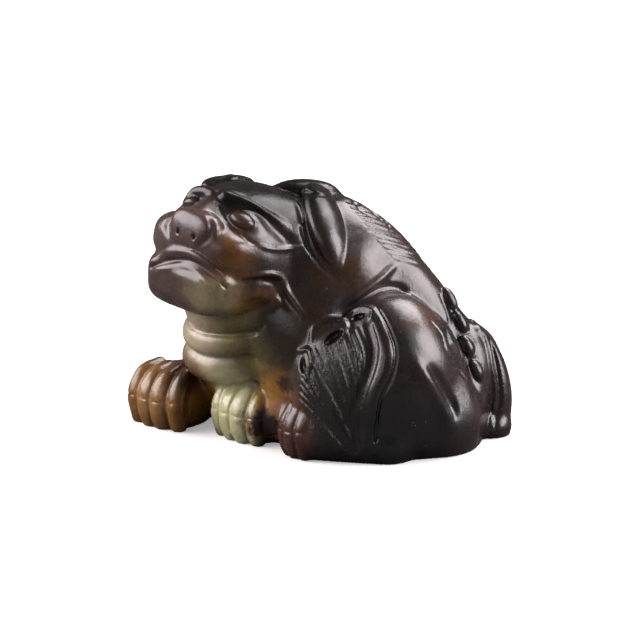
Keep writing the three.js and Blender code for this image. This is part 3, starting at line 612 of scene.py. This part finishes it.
# Carved lines on the drawing: whether also on the other side of the head or body, width, height,
# how much is left of the height at both ends, path
lineWork = {
    "upperLip": ("", 0.8, 0.7, (0.6, 0.4),
                 (154, 262, 163, 257, 176, 253, 190, 254, 203, 260, 215, 270, 228, 282)),
    "lipGroove": ("", 0.28, -0.4, (0.2, 0.6), (190, 249, 202, 254, 213, 263, 226, 275)),
    "mouth": ("", 0.36, -0.95, (1, 0.4),
              (153, 268, 164, 264, 177, 261, 190, 261, 202, 266, 214, 276, 228, 289)),
    "lowerLip": ("", 0.7, 0.3, (0.3, 0.3),
                 (158, 274, 166, 270, 178, 267, 190, 268, 201, 274, 211, 285, 219, 297)),
    "cheekRidge": ("head", 0.5, 1.0, (0.2, 0.2),
                   (240, 278, 255, 276, 272, 275, 282, 279, 287, 291, 297, 306, 304, 316)),
    "cheekGroove": ("head", 0.7, -0.55, (0.3, 0.2), (246, 284, 262, 281, 275, 284, 282, 296, 290, 309)),
    "cheekBulge": ("head", 1.6, 0.6, (0.3, 0.3), (250, 293, 262, 295, 274, 303)),
    "browHollow": ("head", 1.2, -0.5, (0.5, 0.1), (261, 217, 272, 227, 284, 238, 296, 245)),
    "socketEdge": ("head", 0.5, 0.5, (0.1, 0.2), (258, 246, 272, 250, 288, 250, 303, 246)),
    "tearLine": ("head", 0.5, -0.6, (0.5, 0.1), (221, 211, 229, 222, 240, 233, 250, 242, 258, 246)),
    "noseSide": ("head", 0.7, -0.65, (0.3, 0.3), (212, 220, 214, 231, 210, 240, 201, 247)),
    "earHollow": ("head", 0.7, -0.6, (0.2, 0.3), (302, 222, 305, 236, 312, 252, 322, 266, 334, 277)),
    "earFold": ("head", 0.6, 0.5, (0.4, 0.1), (295, 203, 299, 211, 302, 221, 303, 228)),
    "hornEdge": ("", 0.5, -0.5, (0.2, 0.2), (278, 189, 295, 192, 320, 196, 340, 198)),
    "shoulder": ("body", 0.8, 0.8, (0.2, 0.2), (345, 304, 360, 294, 380, 279, 394, 266)),
    "shoulderGroove": ("body", 0.8, -0.7, (0.2, 0.2),
                       (352, 308, 366, 298, 385, 288, 402, 290, 420, 302)),
    "haunchRidge": ("body", 1.7, 1.0, (0.1, 0.1), (412, 358, 424, 377, 436, 398, 444, 415, 443, 432)),
    "haunchGroove": ("body", 1.3, -0.9, (0.1, 0.1), (424, 364, 438, 383, 449, 402, 453, 420)),
    "hipHollow": ("", 1.1, -1.1, (0.2, 0.1), (442, 322, 448, 340, 457, 354, 468, 372, 478, 394)),
    "hipEdge": ("body", 0.3, -0.5, (0.5, 0.2), (430, 322, 440, 334, 444, 348, 452, 362, 464, 378)),
    "tailRim": ("", 0.5, 0.55, (0.2, 0.2), (484, 334, 490, 362, 494, 396, 490, 424)),
    "beadChannel": ("", 0.5, -0.6, (0.3, 0.2), (440, 296, 449, 318, 456, 342, 465, 366, 470, 384)),
    "tailGroove": ("", 0.4, -0.7, (0.2, 0.2), (489, 340, 496, 366, 499, 398, 494, 428)),
    "lock": ("body", 1.5, 1.1, (0.3, 0.2),
             (378, 328, 385, 350, 383, 370, 374, 392, 369, 420, 365, 452)),
    "lockInner": ("body", 0.8, -1.1, (0.3, 0.3),
                  (367, 326, 372, 350, 369, 370, 359, 392, 351, 418, 355, 448)),
    "lockEdge": ("body", 0.4, -1.0, (0.3, 0.3),
                 (377, 309, 386, 325, 394, 350, 390, 376, 379, 398, 375, 425, 374, 458)),
    "strandEdge": ("body", 0.6, -0.5, (0.3, 0.3), (318, 345, 330, 375, 343, 410, 356, 445)),
    "curlRim": ("body", 0.6, 0.9, (0.4, 0.4),
                (311, 342, 314, 329, 324, 320, 338, 319, 345, 325, 343, 333)),
    "highRim": ("body", 0.6, 0.8, (0.4, 0.4), (344, 319, 352, 311, 362, 308, 372, 311, 371, 318)),
    "lowRim": ("body", 0.5, 0.7, (0.4, 0.4), (300, 350, 309, 350, 311, 362, 306, 378)),
}

# Families of fine lines on both sides of the body, between a first and a last guide line:
# how many, width, height, first, last
lineFamilies = {
    "mane": (11, 0.42, -0.5, (347, 203, 362, 206, 378, 213), (392, 258, 410, 262, 436, 270)),
    "fanLeft": (8, 0.3, -0.8, (300, 396, 316, 412, 334, 434, 350, 452),
                (306, 350, 318, 384, 338, 424, 356, 450)),
    "fanMiddle": (8, 0.3, -0.8, (312, 348, 325, 380, 342, 414, 357, 448),
                  (344, 336, 352, 366, 353, 396, 357, 440)),
    "fanRight": (5, 0.3, -0.6, (348, 332, 357, 358, 356, 390, 356, 420),
                 (370, 324, 376, 346, 370, 376, 360, 402)),
    "fanRidges": (6, 0.3, 0.45, (306, 372, 320, 400, 338, 430, 352, 450),
                  (352, 334, 360, 362, 360, 388, 358, 414)),
    "lockLines": (4, 0.18, -0.3, (378, 330, 387, 352, 380, 378, 368, 402),
                  (382, 326, 391, 352, 384, 384, 373, 410)),
    "hoofLines": (3, 0.2, -0.3, (360, 400, 357, 425, 362, 456), (369, 400, 368, 425, 368, 458)),
}
familyEnds = (0.3, 0.2)
familyWobble = 0.35


def blendGuides(first, last, count):
    first, last = np.array(first, float), np.array(last, float)
    rng = np.random.default_rng(len(first) + count)
    for i in range(count):
        t = i / (count - 1)
        wobble = rng.normal(0, familyWobble, len(first))
        yield first + (last - first) * t + wobble


def carvedPaths(drawing):
    rows = []
    for also, width, height, ends, flat in lineWork.values():
        near = drawing.onto(flat)
        rows.append((near, width, height, ends))
        if also == "head":
            rows.append((drawing.settle(flipHead(near)), width, height, ends))
        if also == "body":
            rows.append((drawing.onto(flat, far=True), width, height, ends))
    for count, width, height, first, last in lineFamilies.values():
        for flat in blendGuides(first, last, count):
            flat = smoothCurve(flat.reshape(-1, 2), 3).ravel()
            for far in (False, True):
                rows.append((drawing.onto(flat, far=far), width, height, familyEnds))
    crease = throat["crease"]
    for roll in throat["rolls"]:
        path = throatPath(roll, lower=crease["lower"] * roll["thick"], inward=-crease["outward"])
        rows.append((drawing.settle(path), crease["width"], crease["height"], crease["ends"]))
    return rows + list(pawLines(drawing))


# Drilled pits of the curls at the knee: place, slant on the drawing in degrees, half length, width, depth
pits = {
    "kneeCurl": ((333, 337), 38, 2.1, 0.85, 1.7),
    "highCurl": ((357, 317), 14, 1.3, 0.5, 1.2),
    "lowCurl": ((303, 364), 95, 1.5, 0.5, 1.0),
}


def addPits(s, drawing):
    for spot, slant, long, wide, deep in pits.values():
        a = math.radians(slant)
        along = np.array([math.cos(a), 0, 0]) + drawing.rise * math.sin(a)
        for far in (False, True):
            flip = np.array([1, -1, 1]) if far else 1
            axes = np.array([along, np.cross(along, drawing.sight), drawing.sight]) * flip
            s.ball(drawing.onto(spot, far=far)[0], (long, wide, deep), axes=axes, blend=0.15, cut=True)


beads = {
    "spots": (449, 300, 459.5, 322.5, 466, 346, 475, 370),
    "length": 2.5,
    "shrink": 0.16,  # from bead to bead
    "width": 1.3,
    "height": 1.15,
    "blend": 0.15,
}


def addBeads(s, drawing):
    out = unitVector((0.75, -0.45, 0.5))
    side = unitVector(np.cross((0.62, -0.35, -0.62), out))
    axes = np.array([np.cross(side, out), side, out])
    for i, at in enumerate(drawing.onto(beads["spots"])):
        radii = (beads["length"] - beads["shrink"] * i, beads["width"], beads["height"])
        s.ball(at, radii, axes=axes, blend=beads["blend"])


nostrils = {"at": (7.2, 0.6, -4.8), "apart": 1.95, "radii": (1.0, 0.36, 0.55), "blend": 0.2}


def addNostrils(s):
    forward, left, up = nostrils["at"]
    for side in (-1, 1):
        at = (forward, left + nostrils["apart"] * side, up)
        s.ball(at, nostrils["radii"], place=headPlace, blend=nostrils["blend"], cut=True)


sculpt = {
    "room": ((-37.3, -25.3, -2.9), (37.5, 29.5, 51)),
    "sketchStep": 0.8,
    "step": 0.26,
    "triangles": 190000,
    "sole": 0.12,  # what is lower than this is ground flat
}


def buildStone():
    points, faces = skinOf(bodyField, *sculpt["room"], sculpt["sketchStep"])
    leaves = earPaths(Drawing(points, faces))

    def massField(points):
        s = Stone(points)
        s.distance = bodyField(points)
        addEars(s, leaves)
        s.rod(**horn)
        addTail(s)
        addPaws(s)
        return s.distance

    points, faces = skinOf(massField, *sculpt["room"], sculpt["sketchStep"])
    drawing = Drawing(points, faces)
    carved = carvedPaths(drawing)

    def stoneField(points):
        s = Stone(points)
        s.distance = massField(points)
        for path, width, height, ends in carved:
            s.line(path, width, height, ends)
        addNostrils(s)
        addPits(s, drawing)
        addBeads(s, drawing)
        return np.maximum(s.distance, -s.points[:, 2])

    points, faces = skinOf(stoneField, *sculpt["room"], sculpt["step"])
    points[points[:, 2] < sculpt["sole"], 2] = 0
    return drawing, points, faces


drawing, stonePoints, stoneFaces = buildStone()
print("stone sculpted:", len(stonePoints), "points")

# The sculpted stone's length becomes that of the CAD solid, its middle the frame's origin
low, high = stonePoints.min(0), stonePoints.max(0)
share = (stoneBox[1].x - stoneBox[0].x) / (high[0] - low[0])
stoneMiddle = np.array([(low[0] + high[0]) / 2, (low[1] + high[1]) / 2, 0])


def toFrame(points):
    return (np.asarray(points, float) - stoneMiddle) * share


def addStone(points, faces):
    mesh = bpy.data.meshes.new("jadeBeast")
    mesh.vertices.add(len(points))
    mesh.vertices.foreach_set("co", toFrame(points).astype(np.float32).ravel())
    mesh.loops.add(len(faces) * 4)
    mesh.loops.foreach_set("vertex_index", faces.astype(np.int32).ravel())
    mesh.polygons.add(len(faces))
    mesh.polygons.foreach_set("loop_start", np.arange(len(faces), dtype=np.int32) * 4)
    mesh.update(calc_edges=True)
    mesh.validate()
    stone = bpy.data.objects.new("jadeBeast", mesh)
    bpy.context.scene.collection.objects.link(stone)
    triangles = len(faces) * 2
    if triangles > sculpt["triangles"]:
        thin = stone.modifiers.new("thin", "DECIMATE")
        thin.ratio = sculpt["triangles"] / triangles
        thin.use_collapse_triangulate = True
        graph = bpy.context.evaluated_depsgraph_get()
        done = bpy.data.meshes.new_from_object(stone.evaluated_get(graph))
        stone.modifiers.clear()
        stone.data = done
    stone.data.polygons.foreach_set("use_smooth", np.ones(len(stone.data.polygons), bool))
    stone.data.update()
    return stone


stone = addStone(stonePoints, stoneFaces)
print("stone meshed:", len(stone.data.polygons), "faces")


# Colours and finish of the jade
def srgb(r, g, b):
    linear = []
    for value in (r / 255, g / 255, b / 255):
        linear.append(value / 12.92 if value <= 0.04045 else ((value + 0.055) / 1.055) ** 2.4)
    return (*linear, 1)


def worked(tree, kind, operation, *feeds):  # a math node fed with sockets and numbers
    made = tree.nodes.new(kind)
    made.operation = operation
    for socket, feed in zip(made.inputs, feeds):
        if isinstance(feed, bpy.types.NodeSocket):
            tree.links.new(feed, socket)
        else:
            socket.default_value = feed
    return made


def patchMask(tree, position, centre, size, softness, wobble, noise):  # soft edge, pushed about by a noise
    away = worked(tree, "ShaderNodeVectorMath", "SUBTRACT", position, centre)
    ratio = worked(tree, "ShaderNodeVectorMath", "DIVIDE", away.outputs[0], size)
    shifted = worked(tree, "ShaderNodeVectorMath", "MULTIPLY_ADD", noise, wobble, ratio.outputs[0])
    length = worked(tree, "ShaderNodeVectorMath", "LENGTH", shifted.outputs[0])
    start = worked(tree, "ShaderNodeMath", "SUBTRACT", 1, softness)
    end = worked(tree, "ShaderNodeMath", "ADD", 1, softness)
    fall = tree.nodes.new("ShaderNodeMapRange")
    fall.interpolation_type = "SMOOTHSTEP"
    fall.inputs["To Min"].default_value = 1
    fall.inputs["To Max"].default_value = 0
    tree.links.new(length.outputs["Value"], fall.inputs["Value"])
    tree.links.new(start.outputs[0], fall.inputs["From Min"])
    tree.links.new(end.outputs[0], fall.inputs["From Max"])
    return fall.outputs["Result"]


def patchGroup():  # a patch round a place in the stone
    group = bpy.data.node_groups.new("Stone patch", "ShaderNodeTree")
    inputs = {
        "Position": "NodeSocketVector",
        "Centre": "NodeSocketVector",
        "Size": "NodeSocketVector",
        "Softness": "NodeSocketFloat",
        "Wobble": "NodeSocketFloat",
        "Noise": "NodeSocketVector",
    }
    for name, kind in inputs.items():
        group.interface.new_socket(name=name, in_out="INPUT", socket_type=kind)
    group.interface.new_socket(name="Mask", in_out="OUTPUT", socket_type="NodeSocketFloat")
    given = group.nodes.new("NodeGroupInput").outputs
    mask = patchMask(group, *[given[name] for name in inputs])
    group.links.new(mask, group.nodes.new("NodeGroupOutput").inputs["Mask"])
    return group


# Patches of colour, laid one over the other: drawing place, size in drawing units across,
# along the sight and up, colour, softness, wobble, strength; those in ragged have torn edges
patches = {
    "backBrown": ((410, 270), (55, 90, 40), (56, 40, 36), 0.5, 0.5, 0.8),
    "headMauve": ((190, 250), (62, 70, 66), (78, 58, 54), 0.35, 0.35, 1),
    "forehead": ((270, 193), (80, 60, 22), (22, 17, 16), 0.35, 0.3, 1),
    "cheekDark": ((290, 255), (42, 60, 36), (40, 27, 20), 0.4, 0.5, 1),
    "amberCheek": ((235, 264), (18, 30, 28), (104, 66, 18), 0.8, 0.6, 0.9),
    "amberJaw": ((258, 302), (34, 30, 16), (96, 66, 26), 0.6, 0.5, 0.9),
    "oliveChin": ((214, 298), (25, 26, 18), (142, 130, 96), 0.8, 0.5, 0.9),
    "throatOlive": ((222, 345), (62, 60, 44), (120, 110, 66), 0.3, 0.25, 1),
    # painted light: the left half of the throat is made paler, standing in for the broad highlight of the
    # left softbox on the rolls
    "throatPaintedLight": ((194, 348), (34, 44, 46), (176, 163, 138), 0.6, 0.4, 0.85),
    "chestPale": ((205, 380), (34, 40, 16), (164, 160, 122), 0.5, 0.4, 0.9),
    "throatDark": ((292, 332), (34, 60, 40), (44, 28, 10), 0.6, 0.4, 1),
    "farLeg": ((165, 400), (62, 60, 50), (130, 88, 36), 0.25, 0.3, 1),
    "farArm": ((185, 372), (22, 60, 20), (60, 34, 12), 0.6, 0.5, 0.9),
    "farToes": ((150, 402), (20, 60, 26), (162, 128, 82), 0.8, 0.6, 0.6),
    "nearPaw": ((231, 412), (34, 40, 42), (192, 190, 150), 0.25, 0.25, 1),
    "pawAmber": ((277, 398), (22, 40, 30), (156, 112, 48), 0.5, 0.6, 1),
    "neckAmber": ((345, 272), (34, 40, 18), (66, 42, 24), 0.5, 0.5, 0.8),
    "hindPaw": ((290, 425), (24, 40, 34), (86, 54, 44), 0.4, 0.4, 1),
    "hipBrown": ((425, 318), (22, 30, 14), (76, 54, 46), 0.6, 0.6, 0.9),
    "hairDark": ((334, 392), (30, 60, 52), (40, 31, 31), 0.3, 0.3, 0.8),
    "haunchBlack": ((405, 432), (66, 60, 36), (8, 8, 9), 0.5, 0.5, 0.95),
    "stainRim": ((266, 424), (25, 26, 17), (112, 62, 22), 0.3, 1.1, 0.85),
    "stain": ((268, 424), (19, 24, 13), (40, 27, 21), 0.12, 1.2, 1),
    "stainUp": ((288, 384), (12, 14, 9), (46, 30, 20), 0.35, 1.0, 0.9),
}

ragged = ("stain", "stainRim", "stainUp")

# Noises are given by scale, detail, roughness and distortion, bumps by strength and height
finish = {
    "base": (50, 35, 33),
    "dark": (17, 12, 13),
    "clouds": (70, 5, 0.6, 0.4),
    "edgeNoise": (170, 9, 0.72),
    "raggedNoise": (620, 9, 0.78),
    "mottle": (420, 6, 0.7),
    "mottleStrength": 0.35,
    "crack": (40, 24, 14),
    "crackNoise": (55, 7, 0.6, 0.8),
    "crackWidth": 0.006,
    "crackStrength": 0.4,
    "dust": (150, 138, 132),
    "dustScale": 700,
    "dustStrength": 0.6,
    "polish": (240, 5, 0.6),
    "roughness": (0.22, 0.34),
    "specular": 0.5,
    "foreheadSpecular": 0.16,
    "ior": 1.6,
    "translucence": 0.35,
    "translucentTint": (1.0, 0.8, 0.45),
    "translucentDepth": 0.0016,
    "grain": (2600, 3, 0.6),
    "grainBump": (0.12, 0.0001),
    "waves": (300, 4, 0.6),
    "waveBump": (0.25, 0.0004),
    "hair": (1500, 4, 0.65),
    "hairTurn": (0, 0.5, 0),
    "hairStretch": (1, 1, 0.1),
    "hairBump": (0.8, 0.0005),
    "hairElsewhere": 0.0375,  # share of the hair's relief
}


class StoneNodes:  # makes the nodes of a material that runs through the stone
    def __init__(self, tree):
        self.tree = tree
        self.where = tree.nodes.new("ShaderNodeTexCoord").outputs["Object"]

    def noise(self, scale, detail, roughness, distortion=0.0, where=None):
        made = self.tree.nodes.new("ShaderNodeTexNoise")
        made.inputs["Scale"].default_value = scale
        made.inputs["Detail"].default_value = detail
        made.inputs["Roughness"].default_value = roughness
        made.inputs["Distortion"].default_value = distortion
        self.tree.links.new(self.where if where is None else where, made.inputs["Vector"])
        return made

    def centred(self, noise):  # a noise that pushes as far one way as the other
        parts = (noise.outputs["Color"], (0.5, 0.5, 0.5))
        return worked(self.tree, "ShaderNodeVectorMath", "SUBTRACT", *parts).outputs[0]

    def ramp(self, value, low, high, toLow=0.0, toHigh=1.0):
        made = self.tree.nodes.new("ShaderNodeMapRange")
        self.tree.links.new(value, made.inputs["Value"])
        made.inputs["From Min"].default_value = low
        made.inputs["From Max"].default_value = high
        made.inputs["To Min"].default_value = toLow
        made.inputs["To Max"].default_value = toHigh
        return made.outputs["Result"]

    def mix(self, mask, a, b, mode="MIX", strength=1.0):
        made = self.tree.nodes.new("ShaderNodeMix")
        made.data_type = "RGBA"
        made.blend_type = mode
        if strength != 1.0:
            mask = self.ramp(mask, 0, 1, 0, strength)
        self.tree.links.new(mask, made.inputs["Factor"])
        for socket, colour in ((made.inputs["A"], a), (made.inputs["B"], b)):
            if isinstance(colour, tuple):
                socket.default_value = colour
            else:
                self.tree.links.new(colour, socket)
        return made.outputs["Result"]

    def bump(self, relief, strength, height, under=None):
        made = self.tree.nodes.new("ShaderNodeBump")
        made.inputs["Strength"].default_value = strength
        made.inputs["Distance"].default_value = height
        self.tree.links.new(relief, made.inputs["Height"])
        if under is not None:
            self.tree.links.new(under.outputs["Normal"], made.inputs["Normal"])
        return made


def patchPlace(name):  # its centre and size in the frame
    spot, size = patches[name][:2]
    return toFrame(drawing.onto(spot)[0]), [v / layout["unit"] * share for v in size]


def patchedColour(make, edges):  # the stone's colour, and the mask of each patch by name
    cloud = make.ramp(make.noise(*finish["clouds"]).outputs["Fac"], 0.38, 0.66)
    colour = make.mix(cloud, srgb(*finish["dark"]), srgb(*finish["base"]))
    tornEdges = make.centred(make.noise(*finish["raggedNoise"]))
    group = patchGroup()
    masks = {}
    for name, (_, _, tone, softness, wobble, strength) in patches.items():
        centre, size = patchPlace(name)
        patch = make.tree.nodes.new("ShaderNodeGroup")
        patch.node_tree = group
        patch.label = name
        make.tree.links.new(make.where, patch.inputs["Position"])
        make.tree.links.new(tornEdges if name in ragged else edges, patch.inputs["Noise"])
        patch.inputs["Centre"].default_value = centre
        patch.inputs["Size"].default_value = size
        patch.inputs["Softness"].default_value = softness
        patch.inputs["Wobble"].default_value = wobble * 2
        masks[name] = patch.outputs["Mask"]
        colour = make.mix(masks[name], colour, srgb(*tone), strength=strength)
    mottle = make.noise(*finish["mottle"]).outputs["Fac"]
    mottle = make.ramp(mottle, 0.35, 0.62, 0, finish["mottleStrength"])
    return make.mix(mottle, colour, srgb(0, 0, 0), "SOFT_LIGHT"), masks


def addCracks(make, colour):  # thin healed cracks run where a noise crosses its middle value
    noise = make.noise(*finish["crackNoise"]).outputs["Fac"]
    off = worked(make.tree, "ShaderNodeMath", "SUBTRACT", noise, 0.5)
    away = worked(make.tree, "ShaderNodeMath", "ABSOLUTE", off.outputs[0])
    crack = make.ramp(away.outputs[0], finish["crackWidth"], 0)
    return make.mix(crack, colour, srgb(*finish["crack"]), strength=finish["crackStrength"])


def addDust(make, colour):  # tiny pale specks, few of them
    cells = make.tree.nodes.new("ShaderNodeTexVoronoi")
    cells.inputs["Scale"].default_value = finish["dustScale"]
    make.tree.links.new(make.where, cells.inputs["Vector"])
    speck = make.ramp(cells.outputs["Distance"], 0.10, 0.05)
    few = make.ramp(make.noise(500, 2, 0.55).outputs["Fac"], 0.60, 0.64)
    dust = worked(make.tree, "ShaderNodeMath", "MULTIPLY", speck, few)
    return make.mix(dust.outputs[0], colour, srgb(*finish["dust"]), strength=finish["dustStrength"])


def foreheadGloss(make, edges):  # less on the forehead; its mask is made here, not by the group
    _, _, _, softness, wobble, _ = patches["forehead"]
    mask = patchMask(make.tree, make.where, *patchPlace("forehead"), softness, [wobble * 2] * 3, edges)
    return make.ramp(mask, 0, 1, finish["specular"], finish["foreheadSpecular"])


def polishedNormal(make, hairMask):  # slow waves, hair strands over them, and a fine grain on top
    waves = make.bump(make.noise(*finish["waves"]).outputs["Fac"], *finish["waveBump"])
    stretch = make.tree.nodes.new("ShaderNodeMapping")
    stretch.inputs["Rotation"].default_value = finish["hairTurn"]
    stretch.inputs["Scale"].default_value = finish["hairStretch"]
    make.tree.links.new(make.where, stretch.inputs["Vector"])
    hair = make.noise(*finish["hair"], where=stretch.outputs["Vector"]).outputs["Fac"]
    relief = worked(make.tree, "ShaderNodeMath", "SUBTRACT", hair, 0.5)
    amount = make.ramp(hairMask, 0, 1, finish["hairElsewhere"], 1)
    relief = worked(make.tree, "ShaderNodeMath", "MULTIPLY", relief.outputs[0], amount)
    strands = make.bump(relief.outputs[0], *finish["hairBump"], under=waves)
    grain = make.noise(*finish["grain"]).outputs["Fac"]
    return make.bump(grain, *finish["grainBump"], under=strands).outputs["Normal"]


def jadeMaterial():
    mat = bpy.data.materials.new("polished dark jade")
    mat.use_nodes = True
    shader = mat.node_tree.nodes["Principled BSDF"]
    make = StoneNodes(mat.node_tree)
    edges = make.centred(make.noise(*finish["edgeNoise"]))
    colour, masks = patchedColour(make, edges)
    polish = make.noise(*finish["polish"]).outputs["Fac"]
    feeds = {
        "Base Color": addDust(make, addCracks(make, colour)),
        "Roughness": make.ramp(polish, 0.3, 0.7, *finish["roughness"]),
        "Specular IOR Level": foreheadGloss(make, edges),
        "Normal": polishedNormal(make, masks["hairDark"]),
    }
    for name, feed in feeds.items():
        mat.node_tree.links.new(feed, shader.inputs[name])
    shader.inputs["IOR"].default_value = finish["ior"]
    shader.inputs["Subsurface Weight"].default_value = finish["translucence"]
    shader.inputs["Subsurface Radius"].default_value = finish["translucentTint"]
    shader.inputs["Subsurface Scale"].default_value = finish["translucentDepth"]
    return mat


stone.data.materials.append(jadeMaterial())
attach(stone, "root")
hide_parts("jade_beast")
print("jade finished")


# Floor, light and camera
studio = {
    "floor": 3.0,
    "distance": 1.1,
    "seen": 640,
    "lookX": 320,
    "lookY": 320,
    "fill": 0.13,
    "lightTint": (1, 0.93, 0.95),
    "paper": (0.9, 0.9, 0.9, 1),
    "paperGlow": 0.3,
    "paperSeenByStone": (0.12, 0.12, 0.12, 1),
}
white = (1, 1, 1, 1)


def cameraSwitch(tree, others, camera, output):  # one surface for the camera, another for all else
    switch = tree.nodes.new("ShaderNodeMixShader")
    path = tree.nodes.new("ShaderNodeLightPath")
    tree.links.new(path.outputs["Is Camera Ray"], switch.inputs[0])
    tree.links.new(others.outputs[0], switch.inputs[1])
    tree.links.new(camera.outputs[0], switch.inputs[2])
    tree.links.new(switch.outputs[0], output.inputs["Surface"])


def addFloor():
    half = studio["floor"] / 2
    corners = [(-half, -half, 0), (half, -half, 0), (half, half, 0), (-half, half, 0)]
    mesh = bpy.data.meshes.new("floor")
    mesh.from_pydata(corners, [], [(0, 1, 2, 3)])
    floor = bpy.data.objects.new("floor", mesh)
    bpy.context.scene.collection.objects.link(floor)
    mat = bpy.data.materials.new("white paper")
    mat.use_nodes = True
    tree = mat.node_tree
    paper = tree.nodes["Principled BSDF"]
    paper.inputs["Roughness"].default_value = 0.9
    paper.inputs["Specular IOR Level"].default_value = 0.1
    paper.inputs["Base Color"].default_value = studio["paper"]
    paper.inputs["Emission Color"].default_value = white
    paper.inputs["Emission Strength"].default_value = studio["paperGlow"]
    dim = tree.nodes.new("ShaderNodeBsdfDiffuse")  # what the polished stone sees of the paper
    dim.inputs["Color"].default_value = studio["paperSeenByStone"]
    cameraSwitch(tree, dim, paper, tree.nodes["Material Output"])
    mesh.materials.append(mat)


# Softboxes: degrees right of the camera, degrees up, distance, width, height, brightness
softboxes = {
    "leftBox": (-95, 29, 0.46, 0.50, 0.34, 6.8),
    "topBox": (127, 54, 0.45, 0.30, 0.26, 10),
    "rightBox": (82, 24, 0.50, 0.30, 0.30, 10),
    "frontBox": (-42, 24, 0.60, 0.46, 0.22, 1.3),
}


def addSoftbox(name, around, up, distance, width, height, brightness):
    light = bpy.data.lights.new(name, "AREA")
    light.shape = "RECTANGLE"
    light.size, light.size_y = width, height
    light.energy = brightness * math.pi * width * height
    light.color = studio["lightTint"]
    box = bpy.data.objects.new(name, light)
    a, e = math.radians(around), math.radians(up)
    way = Vector((math.sin(a) * math.cos(e), -math.cos(a) * math.cos(e), math.sin(e)))
    box.location = Vector((0, 0, 0.02)) + way * distance
    box.rotation_euler = way.to_track_quat("Z", "Y").to_euler()
    bpy.context.scene.collection.objects.link(box)


def addAir():  # dim for the stone, white for the camera
    air = bpy.data.worlds.new("studio")
    air.use_nodes = True
    tree = air.node_tree
    dim = tree.nodes["Background"]
    dim.inputs["Color"].default_value = white
    dim.inputs["Strength"].default_value = studio["fill"]
    bright = tree.nodes.new("ShaderNodeBackground")
    bright.inputs["Color"].default_value = white
    bright.inputs["Strength"].default_value = 1
    cameraSwitch(tree, dim, bright, tree.nodes["World Output"])
    bpy.context.scene.world = air


def addCamera():
    lens = bpy.data.cameras.new("camera")
    camera = bpy.data.objects.new("camera", lens)
    bpy.context.scene.collection.objects.link(camera)
    x = (studio["lookX"] - layout["originX"]) / layout["unit"]
    rise = (layout["originY"] - studio["lookY"]) / layout["unit"]
    look = Vector(toFrame(np.array([x, 0, 0]) + drawing.rise * rise))
    back = Vector(drawing.sight)
    camera.location = look + back * studio["distance"]
    camera.rotation_euler = (-back).to_track_quat("-Z", "Y").to_euler()
    lens.sensor_width = 36
    lens.lens = 36 * studio["distance"] / (studio["seen"] / layout["unit"] * share)
    lens.clip_start = 0.05
    lens.clip_end = 20
    bpy.context.scene.camera = camera


addFloor()
for name, values in softboxes.items():
    addSoftbox(name, *values)
addAir()
bpy.context.scene.view_settings.view_transform = "Standard"
addCamera()
print("studio ready")
